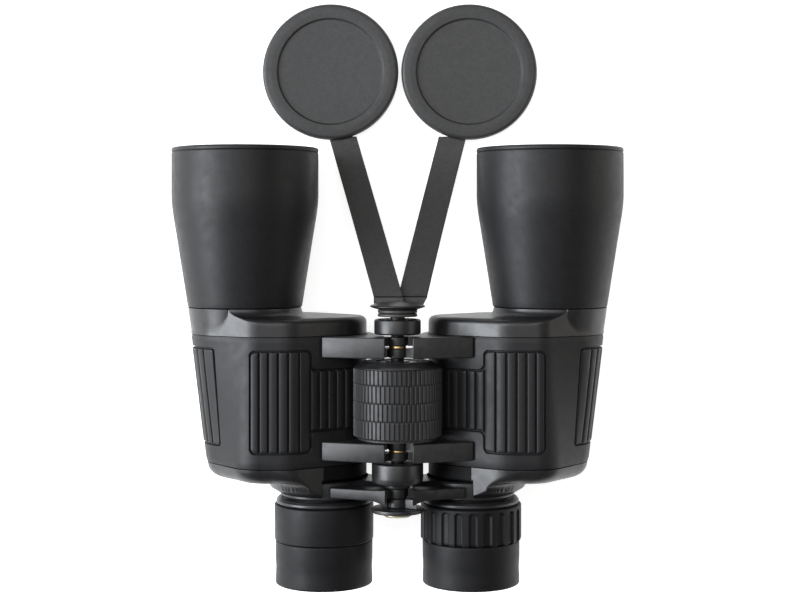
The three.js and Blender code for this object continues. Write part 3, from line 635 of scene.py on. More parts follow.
def front_cover(name, side):
    """A plate with a rounded front edge and a neck that rises from it in a hollow curve.

    Where the side of the plate passes close to the neck, the hollow runs out over the edge and leaves
    a pointed fin.
    """
    seam, base = TUBE_REAR - 0.3, ARMOUR_FRONT + 0.3
    neck_front, neck_rear, bore = 23.65, 22.1, 18.5
    hollow = seam - PLATE_FRONT
    foot = neck_front - 0.35

    def neck_r(y):
        return neck_rear + (neck_front - neck_rear) * (y - base) / (seam - base)

    def height(r):
        if r >= foot + hollow:
            return PLATE_FRONT
        dn = max(r - foot, 0.0)
        return PLATE_FRONT + hollow - math.sqrt(max(hollow**2 - (hollow - dn) ** 2, 0))

    def profile_at(reach, _):
        if reach <= foot:
            share = np.clip((reach - neck_rear) / (neck_front - neck_rear), 0, 1)
            crossing = base + (seam - base) * share
            profile = [(max(reach, neck_r(y)), y) for y in np.linspace(base, crossing, 4)]
            profile += [(neck_r(y), y) for y in np.linspace(crossing, seam, 5)[1:]]
            profile += [(neck_front, seam)] * 22  # as many points as the other branch has
        else:
            edge = float(np.clip(0.25 + 0.42 * (reach - foot - 1.2), 0.15, 2.6))
            inner = reach - edge
            top = height(inner)
            profile = [(reach, y) for y in np.linspace(base, top - edge, 8)]
            profile += rounded_edge(reach, top, edge, -1)
            radii = [foot + (inner - foot) * (1 - k / 14) ** 1.6 for k in range(1, 15)]
            profile += [(r, height(r)) for r in radii]
        return profile + [(bore + 0.3, seam), (bore, seam - 0.3), (bore, base)]

    cover(name, side, base, BARREL_X, profile_at)


PAINTED_SHADE_X = 29.9  # nearer the hinge than this, the rear plate is made near-black: painted shade, where the arms and the bridge shade it


def rear_cover(name, side):
    """The rear plate, with a shroud round the outer half of the eyepiece, and painted shade on its part
    nearest the hinge.
    """
    base = ARMOUR_REAR - 0.3
    shroud_r, shroud_y, lip_r, lip_y = 22.6, -81.8, 18.5, -84.4
    inner_r, hole = 18.2, 13.5
    hollow = PLATE_REAR - shroud_y

    def height(r):
        if r >= shroud_r + hollow:
            return PLATE_REAR
        if r >= shroud_r:
            dn = r - shroud_r
            return PLATE_REAR - hollow + math.sqrt(max(hollow**2 - (hollow - dn) ** 2, 0))
        return lip_y + (shroud_y - lip_y) * (max(r, lip_r) - lip_r) / (shroud_r - lip_r)

    def profile_at(reach, across):
        shrouded = across > 0
        edge = float(np.clip(0.3 + 0.42 * (reach - 21), 0.3, 6.2)) if shrouded else 1.2
        inner = reach - edge
        top = height(inner) if shrouded else PLATE_REAR
        profile = [(reach, y) for y in np.linspace(base, min(top + edge, base), 6)]
        profile += rounded_edge(reach, top, edge, 1)
        radii = [lip_r + (inner - lip_r) * (1 - k / 18) for k in range(1, 19)]
        profile += [(r, height(r) if shrouded else PLATE_REAR) for r in radii]
        return profile + [(inner_r, lip_y + 0.1 if shrouded else PLATE_REAR), (inner_r, PLATE_REAR),
                          (hole + 0.3, PLATE_REAR), (hole, PLATE_REAR + 0.3), (hole, base)]

    piece = cover(name, side, REAR_OUTLINE_Y, EYE_X, profile_at)
    # the plate's part nearest the hinge gets the near-black material: painted shade under the arms and the
    # bridge
    piece.data.materials.append(MATERIALS["black_casting"])
    for polygon in piece.data.polygons:
        if abs(polygon.center.x) < PAINTED_SHADE_X * MM:
            polygon.material_index = 1


# ---------------------------------------------------------------- objective tubes

SLEEVE_WALL, BARREL_GAP, BARREL_WALL = 1.6, 1.75, 1.2  # the gap is measured from the sleeve's outside
SLEEVE_STOP = 54.9  # the sleeve's rim laps over the end of the metal tube here
BARREL_MOUTH_R = 27.6
TUBE_STATIONS = (39, 32, 26, 22, 8)  # the y of the corners along the curve inside


def tube_radius(y):
    """The outer radius of an objective tube: a cone, then a swelling curve to the level mouth."""
    slope, cone_end, level = 0.158, 22.2, 39.2
    start = 28.4
    if y <= cone_end:
        return start - slope * (cone_end - y)
    if y >= level:
        return MOUTH_R
    u = (y - cone_end) / (level - cone_end)
    return ((1 - 3 * u**2 + 2 * u**3) * start + (u - 2 * u**2 + u**3) * slope * (level - cone_end)
            + (3 * u**2 - 2 * u**3) * MOUTH_R)


def objective_armour(name, side):
    mouth_in, crease = 27.8, TUBE_FRONT - 1.9
    crease_depth, crease_half = 0.4, 0.28
    corners = [(tube_radius(TUBE_REAR) - SLEEVE_WALL, TUBE_REAR, 0), (tube_radius(TUBE_REAR), TUBE_REAR, 0.5)]
    corners += [(tube_radius(y), y, 0) for y in np.linspace(TUBE_REAR + 3, crease - 0.6, 34)]
    corners += [
        (MOUTH_R, crease - crease_half, 0.15), (MOUTH_R - crease_depth, crease, 0.1),
        (MOUTH_R, crease + crease_half, 0.15), (MOUTH_R, TUBE_FRONT, 1.3), (mouth_in, TUBE_FRONT, 0.7),
        (mouth_in, SLEEVE_STOP, 0.2), (MOUTH_R - SLEEVE_WALL, SLEEVE_STOP, 0.1),
    ]
    corners += [(tube_radius(y) - SLEEVE_WALL, y, 0) for y in (48, *TUBE_STATIONS)]
    turned_piece(name, corners, side * BARREL_X, OPTIC_Z, material="tube_rubber")


def objective_barrel(name, side):
    """The metal tube inside, with the fine baffle rings that kill reflections in front of the lens."""
    mouth, baffles, pitch, baffle_depth = SLEEVE_STOP - 0.3, 4, 0.6, 0.3
    corners = [(tube_radius(y) - BARREL_GAP, y, 0) for y in (TUBE_REAR, *reversed(TUBE_STATIONS))]
    corners += [(MOUTH_R - BARREL_GAP, mouth, 0.2), (BARREL_MOUTH_R, mouth, 0.2)]
    for k in range(baffles):
        y = mouth - 0.5 - pitch * k
        corners += [(BARREL_MOUTH_R, y, 0), (BARREL_MOUTH_R - baffle_depth, y - pitch / 2, 0)]
    inside = BARREL_GAP + BARREL_WALL
    corners += [(tube_radius(y) - inside, y, 0) for y in (*TUBE_STATIONS, TUBE_REAR)]
    turned_piece(name, corners, side * BARREL_X, OPTIC_Z, steps=3)


def objective_cell(name):
    x, z, _, front, rear = turned_box(name)
    bore, seat, outer = 24.2, 25.15, 27.3
    turned_piece(name, [
        (bore, rear, 0), (outer, rear, 0), (outer, front, 0.4), (outer - 1.1, front, 0.3),
        (seat + 0.05, front - 1.2, 0.2), (seat, rear + 2, 0), (bore, rear + 2, 0),
    ], x, z, steps=4)


def lens(name):
    """A lens with two curved faces and a ground edge, in the box of its CAD node."""
    x, z, radius, front, rear = turned_box(name)
    bulge, rings = 0.27 * (front - rear), 10
    shares = [k / rings for k in range(rings + 1)]
    profile = [(radius * share, rear + bulge * share**2, 0) for share in shares]
    profile += [(radius * share, front - bulge * share**2, 0) for share in reversed(shares)]
    turned_piece(name, profile, x, z, 96)


# ---------------------------------------------------------------- hinge

LUG_R, AXLE_R = 3.8, 2.6
BORE_R = AXLE_R + 0.15  # the bore of whatever sits on the axle
LUG_GAP = 1.0
BRIDGE_BOSS = (-79.9, -83.9, -87.6)
ARM_END = {LEFT: 5.1, RIGHT: 6.1}
SOCKET_FRONT, SOCKET_REAR = -12.6, -16.1


def lug(name, side, span, inner, bore):
    """A ring round the axle, with the link that rises from it to the end of its arm."""
    front, rear = span
    chamfer = 0.25
    rim = LUG_R - chamfer
    ring = turned(name, [
        (bore, rear, 0), (rim, rear, 0), (LUG_R, rear + chamfer, 0.1), (LUG_R, front - chamfer, 0.1),
        (rim, front, 0), (bore, front, 0),
    ], 0, HINGE_Z, 96, 3)
    start, end, crook = side * (bore + 0.6), side * (inner + 1.5), side * (inner + 0.2)
    outline = [(start, HINGE_Z - 3.2), (end, HINGE_Z - 5), (end, HINGE_Z + 5.2), (crook, HINGE_Z + 4.6),
               (start, HINGE_Z + 2.3)]
    return joined(ring, extruded(name + "_link", outline, front - 0.1, rear + 0.1))


def saddle(name, side, span, inner):
    """The part of an arm that curves under the other arm's lug, and closes the gap beside it."""
    near, far = LUG_R + 0.45, LUG_R + 1.9
    angles = np.linspace(math.radians(-88), math.radians(8), 22)
    arc = [(near * math.cos(a), HINGE_Z + near * math.sin(a)) for a in angles]
    back = [(inner + 1.2, HINGE_Z + 0.6), (inner + 1.2, HINGE_Z - 9.5), (0.15, HINGE_Z - far - 1.5)]
    outline = [(side * x, z) for x, z in arc + back]
    return extruded(name + "_saddle", outline, *span)


def hinge_arm(name, side, which):
    """An arm whose lug fills the front or the rear half of its depth, and a saddle the other half."""
    low, high = box_mm(name)
    front, rear = high[1], low[1]
    middle = (front + rear) / 2
    inner = ARM_END[side]
    clear = INNER_R + 0.3
    angles = np.linspace(1.45, -0.6, 24)
    flank = [(EYE_X - clear * math.cos(a), OPTIC_Z + clear * math.sin(a)) for a in angles]
    outline = [(inner, HINGE_Z + 9), (EYE_X, HINGE_Z + 1.3), *flank, (14, 17), (11.5, 21),
               (inner, HINGE_Z - 5)]
    web = bevelled(extruded(name, [(side * x, z) for x, z in outline], front, rear), 0.45)
    gap = LUG_GAP / 2
    spans = {"front": (front, middle + gap), "rear": (middle - gap, rear)}
    other = "rear" if which == "front" else "front"
    joined(web, saddle(name, side, spans[other], inner))
    joined(web, lug(name + "_lug", side, spans[which], inner, BORE_R))
    finish_mesh(web.data, 40)
    stand_for(web, name)


def washer(name):
    x, z, _, front, rear = turned_box(name)
    rim = LUG_R - 0.35
    corners = [(BORE_R, rear, 0), (rim, rear, 0.1), (rim, front, 0.1), (BORE_R, front, 0)]
    turned_piece(name, corners, x, z, 64, 3)


def front_collar(name):
    """A collar with a pocket for the tripod socket behind its open front face."""
    _, _, radius, front, rear = turned_box(name)
    lip, step = front - 0.4, rear + 1.4
    throat_r, pocket_r, pocket = 3.4, 4.6, SOCKET_FRONT + 0.1
    turned_piece(name, [
        (BORE_R, rear, 0), (radius - 0.4, rear, 0.4), (radius, rear + 0.6, 0.3), (radius, front, 0.7),
        (radius - 1.3, front, 0.3), (radius - 1.6, lip, 0.2), (throat_r, lip, 0.2), (throat_r, pocket, 0),
        (pocket_r, pocket, 0), (pocket_r, step, 0), (BORE_R, step, 0),
    ], 0, HINGE_Z, 96, 4)


def tripod_socket(name):
    bore, outer = 3.2, 4.4
    turned_piece(name, [
        (bore, SOCKET_REAR, 0.1), (outer, SOCKET_REAR, 0.1), (outer, SOCKET_FRONT, 0.2),
        (bore, SOCKET_FRONT, 0.2),
    ], 0, HINGE_Z, 64, 3)


def rear_collar(name):
    _, _, radius, front, rear = turned_box(name)
    spindle_bore = 5.35
    turned_piece(name, [
        (spindle_bore, rear, 0), (radius - 0.35, rear, 1.2), (radius, rear + 2.5, 2), (radius, front, 0.5),
        (BORE_R, front, 0), (BORE_R, front - 1, 0), (spindle_bore, front - 1, 0),
    ], 0, HINGE_Z, 96, 4)


WHEEL_RIBS = 58
WHEEL_SAMPLES = 12  # points round the wheel for each rib
WHEEL_BANDS = (-58.4, -51.5, -44.4, -37.3, -31.4)
GRIP_INNER_R = 15.8
RIB_HEIGHT, BAND_NOTCH, NOTCH_REACH = 0.55, 0.14, 0.45
GRIP_ROUND = ((0.0, 3.4), (0.25, 2.5), (0.6, 1.7), (1.0, 0.9))  # (from the rear end, drop) of its rounding


def focus_grip(name):
    """A rubber sleeve with bands of axial ribs, each band set half a pitch from the next."""
    x, z, radius, front, rear = turned_box(name)
    count = WHEEL_RIBS * WHEEL_SAMPLES
    verts = []

    def ring(y, outer, ribbed, offset):
        radii = []
        for j in range(count):
            from_valley = 0.5 - abs((j / WHEEL_SAMPLES + offset) % 1 - 0.5)
            share = min(1.0, max(0.0, (from_valley - 0.06) / 0.2))
            rib = share * share * (3 - 2 * share)
            radii.append(outer - ribbed * RIB_HEIGHT * (1 - rib))
        verts.extend(ring_verts(x, y, z, radii))

    def band_ring(y, from_end, notched, offset):
        notch = BAND_NOTCH * max(0.0, 1 - from_end / NOTCH_REACH) if notched else 0
        ring(y, radius - notch, 1, offset)

    ring(rear, GRIP_INNER_R, 0, 0)
    for y, drop in [*((rear + along, drop) for along, drop in GRIP_ROUND), (WHEEL_BANDS[0], 0.3)]:
        ring(y, radius - min(drop, radius - GRIP_INNER_R - 0.2), max(0.0, 1 - drop / 1.6), 0)
    for b, (start, end) in enumerate(zip(WHEEL_BANDS, WHEEL_BANDS[1:])):
        offset = 0.5 * (b % 2)
        for from_start in (0.06, 0.2, 0.34, 0.5, 0.9, 2.2, 3.4):
            band_ring(start + from_start, from_start, b > 0, offset)
        for from_end in (2.2, 0.9, 0.5, 0.34, 0.2, 0.06):
            band_ring(end - from_end, from_end, b < len(WHEEL_BANDS) - 2, offset)
    ring(front, radius - 0.3, 0.6, 0.5)
    ring(front, GRIP_INNER_R, 0, 0)
    faces = grid_faces(len(verts) // count, count, wrap_rows=True)
    stand_for(make_object(name, verts, faces, 50), name)


def focus_wheel(name):
    """The wheel under the grip: a core, a bevelled front rim and a shallow dish inside it."""
    _, _, radius, front, rear = turned_box(name)
    core, rim, dish = GRIP_INNER_R - 0.15, WHEEL_BANDS[-1] + 0.15, front - 0.5
    turned_piece(name, [
        (BORE_R, rear, 0), (core, rear, 0.3), (core, rim, 0), (radius - 0.1, rim, 0.1),
        (radius, rim + 0.35, 0.25), (radius - 0.9, rim + 1.0, 0.9), (13.6, front, 0.9), (9.5, front, 0.3),
        (9.2, dish, 0.2), (5, dish, 0.2), (4.8, front, 0.2), (BORE_R, front, 0),
    ], 0, HINGE_Z, 112, 5)


def focusing_spindle(name):
    _, _, _, front, rear = turned_box(name)
    neck_r, body_r, rod_r = 2.05, 5.2, 1.5
    body_rear, body_front = -79.6, -70.8
    turned_piece(name, [
        (0, rear, 0), (neck_r, rear, 0.3), (neck_r, body_rear, 0), (body_r, body_rear, 0.2),
        (body_r, body_front, 0.3), (rod_r, body_front, 0), (rod_r, front, 0.4), (0, front, 0),
    ], 0, HINGE_Z, 64, 4, "satin_black")


# ---------------------------------------------------------------- bridge and eyepieces

EYEPIECE_BORE = 15.3  # of whatever is fitted over an eyepiece's 15 mm tube
BRIDGE_RING_BORE = 15.15


def rounded_bar(name, stations, edge=0.4):
    """A bar along X with rounded top edges, lofted through (x, front, rear, bottom, top, foot) stations.

    The foot is the y of its front face low down.
    """
    outlines = []
    for x, front, rear, bottom, top, foot in stations:
        outline = fillet([(rear, bottom, 0.0), (foot, bottom, edge), (foot, top - 12, 2), (front, top - 9, 2),
                          (front, top, edge), (rear, top, edge)], 3, loop=True)
        outlines.append([(x, y, z) for y, z in outline])
    return lofted(name, outlines, 38)


def bridge_arm(name, side, lug_span):
    """Half of the bridge: a deep flat arm that swells towards the boss, and a ring round its eyepiece."""
    front, rear, ring_rear = -80.0, -84.2, -86.1
    ring_front = min(turned_box(name)[3], -78.4)
    ring_r, boss_r, inner, outer = 17.9, 8.4, ARM_END[side], 27.0
    along = math.atan2(OPTIC_Z - HINGE_Z, EYE_X)
    lean = math.acos((boss_r - ring_r) / math.hypot(EYE_X, OPTIC_Z - HINGE_Z))
    stations = []
    for x in np.linspace(inner, outer, 40):
        heights = []
        for normal in (along + lean, along - lean):
            nx, nz = math.cos(normal), math.sin(normal)
            heights.append(HINGE_Z + (boss_r - nx * x) / nz)
        swell = max(0.0, 1 - (x - inner) / 6.5) ** 1.6
        on_ring = ring_r**2 - (x - EYE_X) ** 2
        bottom = max(heights[1], OPTIC_Z - math.sqrt(on_ring) if on_ring > 0 else 0.0)
        faces = front + 0.3 * swell, rear - 1.9 * swell
        stations.append((side * x, *faces, bottom, heights[0], ring_front + 0.1))
    arm = rounded_bar(name, stations)
    eye = side * EYE_X, OPTIC_Z, 112
    ring = turned(name + "_ring", [
        (BRIDGE_RING_BORE, ring_rear, 0), (ring_r - 0.4, ring_rear, 0.4), (ring_r, ring_rear + 0.8, 0.3),
        (ring_r, ring_front - 0.6, 0.4), (ring_r - 0.6, ring_front, 0), (BRIDGE_RING_BORE, ring_front, 0),
    ], *eye, 3)
    cutter = turned("cutter", [(0, front + 5, 0), (15.3, front + 5, 0), (15.3, -90, 0), (0, -90, 0)], *eye)
    joined(arm, cutter, "DIFFERENCE")
    joined(arm, ring)
    if side == RIGHT:
        other_span = (BRIDGE_BOSS[0], lug_span[0] + 0.2)
    else:
        other_span = (lug_span[1] - 0.2, BRIDGE_BOSS[2])
    joined(arm, saddle(name, side, other_span, inner))
    joined(arm, lug(name + "_lug", side, lug_span, inner, 2.2))
    finish_mesh(arm.data, 38)
    stand_for(arm, name)


def eyepiece_tube(name, side):
    """A tube with a thin sliding part in the housing and a grooved shoulder behind the bridge's ring."""
    _, _, shoulder_r, front, rear = turned_box(name)
    outer, sliding = 15, 13.2
    shoulder, groove, groove_floor, step = -88.8, -86.5, -87.4, -79.4
    turned_piece(name, [
        (12.4, rear, 0), (outer, rear, 0.2), (outer, shoulder, 0), (shoulder_r - 0.1, shoulder, 0.2),
        (shoulder_r, shoulder + 0.4, 0.2), (shoulder_r, shoulder + 1.2, 0.5), (shoulder_r - 0.9, groove, 0.5),
        (shoulder_r - 2.2, groove, 0.2), (shoulder_r - 2.5, groove_floor, 0.2), (outer, groove_floor, 0),
        (outer, step, 0), (sliding, step, 0), (sliding, front, 0), (11.4, front, 0), (11.4, front - 3, 0),
        (12.4, front - 3, 0),
    ], side * EYE_X, OPTIC_Z, 112, 3, "satin_black")


def eyepiece_sleeve(name):
    x, z, radius, front, rear = turned_box(name)
    turned_piece(name, [
        (EYEPIECE_BORE, rear, 0), (radius - 0.1, rear, 0.35), (radius, front, 0.7), (EYEPIECE_BORE, front, 0),
    ], x, z, material="eyecup_rubber")


FLUTES, FLUTE_SAMPLES = 22, 16
FLUTE_DEPTH, FLUTE_HALF_WIDTH = 1.0, 0.29  # the half width is a share of the pitch


def diopter_ring(name):
    """A ring with raised lands between flutes. Each flute starts in a round end and runs out rearwards."""
    x, z, radius, front, rear = turned_box(name)
    count = FLUTES * FLUTE_SAMPLES
    flute_front = front - 1.3
    pitch_mm = TAU * radius / FLUTES
    half = FLUTE_HALF_WIDTH * pitch_mm
    rows = [(rear, -0.35), (rear + 0.35, 0)]
    rows += [(y, 0) for y in np.linspace(rear + 1.2, flute_front - 2.4, 8)]
    rows += [(y, 0) for y in np.linspace(flute_front - 2.2, flute_front + 0.2, 13)]
    rows += [(front - 0.5, 0), (front - 0.15, -0.25), (front, -0.6)]
    verts = []

    def ring(y, change, depth=FLUTE_DEPTH):
        radii = []
        for j in range(count):
            across = abs((j / FLUTE_SAMPLES) % 1 - 0.5) * pitch_mm
            over = max(0.0, y - (flute_front - half))
            distance = math.hypot(across, over) - half
            share = min(1.0, max(0.0, -distance / 0.45 + 0.1))
            radii.append(radius + change - depth * share * share * (3 - 2 * share))
        verts.extend(ring_verts(x, y, z, radii))

    ring(rear, EYEPIECE_BORE - radius, 0)
    for y, change in rows:
        ring(y, change)
    ring(front, EYEPIECE_BORE - radius, 0)
    faces = grid_faces(len(verts) // count, count, wrap_rows=True)
    stand_for(make_object(name, verts, faces, 55), name, "eyecup_rubber")


def eyecup(name, side):
    """A rubber cup with a faint waist, and an open bowl behind the eye lens."""
    _, _, radius, front, rear = turned_box(name)
    wall, length = radius - 0.05, front - rear
    corners = [
        (EYEPIECE_BORE, front, 0), (EYEPIECE_BORE, -110, 0), (16.4, -111, 0.5), (16.8, rear + 2.5, 0.5),
        (17.6, rear, 0.8), (radius - 0.1, rear, 0.8), (wall, rear + 0.9, 0.4),
    ]
    for k in range(1, 12):
        share = k / 12
        waist = 0.2 * math.exp(-(((share - 0.35) / 0.2) ** 2))
        corners.append((wall - waist, rear + 0.9 + (length - 1.6) * share, 0))
    turned_piece(name, [*corners, (radius, front, 0.45)], side * EYE_X, OPTIC_Z)


def eyepiece_cell(name):
    x, z, radius, front, rear = turned_box(name)
    bore, seat_r, seat = 10.4, 11.2, -103
    turned_piece(name, [
        (bore, front, 0), (radius, front, 0.2), (radius, rear, 0.4), (seat_r + 0.2, rear, 0.3),
        (seat_r, rear + 0.8, 0), (seat_r, seat, 0), (bore, seat, 0),
    ], x, z, 96, 3)


def bridge_disc(name):
    x, z, radius, front, rear = turned_box(name)
    bore = 3.2
    turned_piece(name, [
        (bore, rear, 0), (radius - 0.3, rear, 0.2), (radius, rear + 0.4, 0.2), (radius, front, 0.2),
        (bore, front, 0),
    ], x, z, 112, 3)


def end_screw(name):
    """A low round head with a dimple, on a shank."""
    x, z, radius, front, rear = turned_box(name)
    dimple, under_head, shank_r = rear + 0.4, rear + 1.6, 3
    turned_piece(name, [
        (0, dimple, 0), (1.2, dimple, 0), (1.4, rear, 0.1), (radius - 1, rear, 0.3),
        (radius, rear + 0.7, 0.2), (radius, under_head, 0.1), (shank_r, under_head, 0), (shank_r, front, 0.2),
        (0, front, 0),
    ], x, z, 64, 3, "dull_brass")


# ---------------------------------------------------------------- plug, straps and caps


def tripod_plug(name):
    """A shank under a wide domed disc with a rolled edge."""
    x, z, radius, front, rear = turned_box(name)
    shank_r, disc_rear = 2.9, -7.7
    turned_piece(name, [
        (0, rear, 0), (shank_r - 0.6, rear, 0), (shank_r, rear + 0.6, 0), (shank_r, disc_rear, 0.2),
        (8.6, disc_rear, 0.4), (radius, disc_rear + 0.9, 0.35), (radius - 0.3, disc_rear + 1.5, 0.3),
        (8.0, front - 0.4, 1.5), (4.5, front, 1.5), (0, front - 0.1, 0),
    ], x, z, 112, 4)


def cap(name):
    """A plug cap lying with its face up: a rounded rim, and a sunken face with a moulded step."""
    low, high = box_mm(name)
    x, y, _ = (low + high) / 2
    radius, top = (high[0] - low[0]) / 2, high[2]
    inside, face, plug_r, groove = 25.5, top - 1.15, 27.3, 5.0
    corners = [
        (0, top - 2.4, 0), (inside, top - 2.4, 0.8), (inside, 0.0, 0.4), (plug_r, 0.0, 0.6),
        (plug_r - 0.1, groove, 0.2), (radius - 0.2, groove, 0.6), (radius, 6.4, 0.8),
        (radius - 0.5, top - 0.1, 2.0), (inside, top, 2.0), (23.0, top - 0.15, 0.5), (22.5, face, 0.35),
        (0, face, 0),
    ]
    piece = turned(name, corners, 0, 0, 160, 6)
    mesh = piece.data
    for vertex in mesh.vertices:  # its axis is turned from Y to Z, which turns the faces inside out
        a, b, c = vertex.co
        vertex.co = (a + x * MM, c + y * MM, b)
    mesh.flip_normals()
    finish_mesh(mesh, 40)
    stand_for(piece, name)


STRAP_PIVOT_Y, STRAP_PIVOT_Z = -3.4, 38.2
STRAP_END_X, STRAP_END_Y, STRAP_END_Z = 24.2, 66.0, 4.4
STRAP_ROOT_X = {LEFT: -3.8, RIGHT: 6.2}
STRAP_LAYER = 2  # the right strap starts this far below the left one
STRAP_HALF = 6.05
STRAP_THICK = 1.4
RING_FRONT, RING_PITCH, RING_THICK = -8.0, 1.5, 1.2


def strap_line(side):
    """The strap's middle line from its ring to its cap, as (x, y, z) points."""
    x0, z0 = STRAP_ROOT_X[side], STRAP_PIVOT_Z - STRAP_LAYER * (side == RIGHT)
    p0 = np.array((STRAP_PIVOT_Y, z0))
    p1 = np.array((STRAP_PIVOT_Y + 33, STRAP_END_Z + 6 + (z0 - STRAP_PIVOT_Z)))
    p2 = np.array((STRAP_END_Y, STRAP_END_Z))
    line = []
    for t in np.linspace(0, 1, 60):
        y, z = (1 - t) ** 2 * p0 + 2 * t * (1 - t) * p1 + t * t * p2
        share = (y - STRAP_PIVOT_Y) / (STRAP_END_Y - STRAP_PIVOT_Y)
        line.append((x0 + share * (side * STRAP_END_X - x0), y, z))
    return np.array(line)


def ribbon(name, line, half_width, thickness):
    """A flat strap along a line, with rounded edges, lying level across its width."""
    edge = 0.35
    wide, narrow = half_width - edge * 0.3, half_width - edge
    section = [(-half_width, 0.0), (-wide, 0.35), (-narrow, 0.5), (narrow, 0.5), (wide, 0.35),
               (half_width, 0.0), (wide, -0.35), (narrow, -0.5), (-narrow, -0.5), (-wide, -0.35)]
    tangents = np.gradient(line, axis=0)
    tangents /= np.linalg.norm(tangents, axis=1)[:, None]
    outlines = []
    across = np.array((1.0, 0.0, 0.0))
    for point, tangent in zip(line, tangents):
        up = np.cross(across, tangent)
        up /= np.linalg.norm(up)
        outlines.append([tuple(point + across * a + up * b * thickness) for a, b in section])
    return lofted(name, outlines, 40)


def strap(name, side, cap_name):
    """The strap as far as its cap, whose rim it goes under."""
    low, high = box_mm(cap_name)
    x, y, _ = (low + high) / 2
    reach = (high[0] - low[0]) / 2 - 1.2
    line = np.array([p for p in strap_line(side) if math.hypot(p[0] - x, p[1] - y) > reach])
    stand_for(ribbon(name, line, STRAP_HALF, STRAP_THICK), name, "strap_rubber")


def strap_ring(name, side):
    """A ring round the plug's shank, with the tab that its strap hangs from. The right one lies behind."""
    behind = int(side == RIGHT)
    front = RING_FRONT - behind * RING_PITCH
    rear = front - RING_THICK
    foot = STRAP_PIVOT_Z - STRAP_LAYER * behind
    ring = turned(name, [(0, rear, 0), (8, rear, 0.3), (8, front, 0.3), (0, front, 0)], 0, HINGE_Z, 96, 3)
    tip, half = STRAP_PIVOT_Y - 0.25, STRAP_THICK / 2
    outline = fillet([
        (rear, HINGE_Z - 2, 0), (rear, foot - half, 3.4), (tip, foot - half, 0.05), (tip, foot + half, 0.05),
        (front, foot + half, 2.2), (front, HINGE_Z - 2, 0),
    ], 8)
    verts = []
    taper_start, ring_half = tip - 2.2, 5.6
    for s in (-1, 1):
        for y, z in outline:  # the tab narrows as it reaches back and rises to the ring
            share = np.clip((taper_start - y) / (taper_start - rear), 0, 1)
            edge = STRAP_ROOT_X[side] + s * STRAP_HALF
            verts.append((edge + (s * ring_half - edge) * share, y, z))
    joined(ring, make_object(name + "_tab", verts, prism_faces(len(outline))))
    hole = turned("cutter", [(0, 0, 0), (3.05, 0, 0), (3.05, -14, 0), (0, -14, 0)], 0, HINGE_Z, 64)
    joined(ring, hole, "DIFFERENCE")
    finish_mesh(ring.data, 40)
    stand_for(ring, name, "strap_rubber")


# ---------------------------------------------------------------- assembly

for prefix, side in SIDES:
    for build in (armour, front_cover, rear_cover, objective_armour, objective_barrel, eyepiece_tube, eyecup,
                  strap_ring):
        build(f"{prefix}_{build.__name__}", side)
    objective_cell(f"{prefix}_objective_cell")
    for which in ("objective", "eye", "field"):
        lens(f"{prefix}_{which}_lens")
    hinge_arm(f"{prefix}_front_hinge_arm", side, "front" if side == LEFT else "rear")
    hinge_arm(f"{prefix}_rear_hinge_arm", side, "rear" if side == LEFT else "front")
    cap(f"{prefix}_cap")
    strap(f"{prefix}_strap", side, f"{prefix}_cap")
bridge_arm("left_bridge_arm", LEFT, (BRIDGE_BOSS[0], BRIDGE_BOSS[1] + 0.1))
bridge_arm("right_bridge_arm", RIGHT, (BRIDGE_BOSS[1] - 0.1, BRIDGE_BOSS[2]))
for build in (diopter_ring, front_collar, tripod_socket, rear_collar, focus_wheel, focus_grip,
              focusing_spindle, bridge_disc, tripod_plug):
    build(build.__name__)
eyepiece_sleeve("left_eyepiece_sleeve")
eyepiece_cell("right_eye_cell")
washer("front_hinge_washer")
washer("rear_hinge_washer")
end_screw("bridge_end_screw")

for node, obj in frame["nodes"].items():  # the CAD nodes that nothing stands for
    if not obj.hide_render:
        # the hinge axle gets near-black steel, a painted shade for the gaps round the knuckles
        material = MATERIALS["axle_shade_steel" if node == "hinge_axle" else SLOTS[node]]
        for slot in obj.material_slots:
            slot.material = material


# ---------------------------------------------------------------- floor, light and camera

FLOOR_HALF = 3.0
FLOOR_DROP = 0.0002  # keeps the floor clear of the faces that lie on the table
FLOOR_GLOW = 0.8  # the table is a softly lit panel, so the shadows on it are faint
LIGHT_TARGET = (0, 0, 0.03)


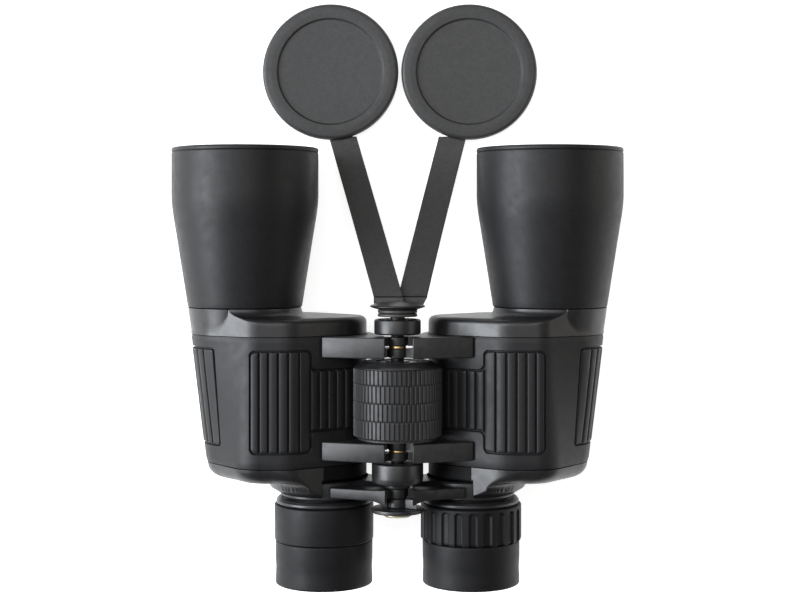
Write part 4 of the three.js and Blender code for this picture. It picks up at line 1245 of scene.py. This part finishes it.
def floor():
    mesh = bpy.data.meshes.new("floor")
    corners = [(x * FLOOR_HALF, y * FLOOR_HALF, 0) for x, y in ((-1, -1), (1, -1), (1, 1), (-1, 1))]
    mesh.from_pydata(corners, [], [(0, 1, 2, 3)])
    obj = bpy.data.objects.new("floor", mesh)
    bpy.context.scene.collection.objects.link(obj)
    s = Surface("floor_paper", 0.9, specular=0.1)
    s.colour(s.ramp(s.noise(60, 3), (0.86, 0.86, 0.86), (0.9, 0.9, 0.9)))
    s.shader.inputs["Emission Color"].default_value = (1, 1, 1, 1)
    s.shader.inputs["Emission Strength"].default_value = FLOOR_GLOW
    s.bump(s.noise(1.0, 2), 0.01)
    obj.data.materials.append(s.material)
    obj.location.z = -FLOOR_DROP


def area_light(name, place, size, watts, colour):
    data = bpy.data.lights.new(name, "AREA")
    data.shape = "DISK"
    data.size = size
    data.energy = watts
    data.color = colour
    obj = bpy.data.objects.new(name, data)
    obj.location = place
    obj.rotation_euler = (Vector(LIGHT_TARGET) - Vector(place)).to_track_quat("-Z", "Y").to_euler()
    bpy.context.scene.collection.objects.link(obj)


floor()
area_light("key", (-1.4, 0.0, 0.8), 1.1, 38, (0.92, 0.955, 1.0))
area_light("top_left", (-0.8, 0.35, 1.5), 0.8, 10, (0.94, 0.965, 1.0))
area_light("overhead", (0.1, 0.4, 1.7), 1.2, 7, (1.0, 0.99, 0.97))
area_light("fill", (1.4, 0.1, 0.5), 0.9, 3.2, (1.0, 0.95, 0.86))

world = bpy.data.worlds.new("studio")
bpy.context.scene.world = world
world.use_nodes = True
background = world.node_tree.nodes["Background"]
background.inputs["Color"].default_value = (1.0, 0.98, 0.96, 1)
background.inputs["Strength"].default_value = 0.14

SENSOR, LENS, SHIFT_Y = 36.0, 67.84, -0.08
CAMERA_DISTANCE = 605  # from the height of the hinge axis
CAMERA_X, CAMERA_Y = 0.2, 22.2

camera_data = bpy.data.cameras.new("camera")
camera_data.sensor_width = SENSOR
camera_data.lens = LENS
camera_data.shift_y = SHIFT_Y
camera = bpy.data.objects.new("camera", camera_data)
camera.location = (CAMERA_X * MM, CAMERA_Y * MM, (HINGE_Z + CAMERA_DISTANCE) * MM)
bpy.context.scene.collection.objects.link(camera)
bpy.context.scene.camera = camera
bpy.context.scene.view_settings.view_transform = "Standard"

bpy.context.view_layer.update()
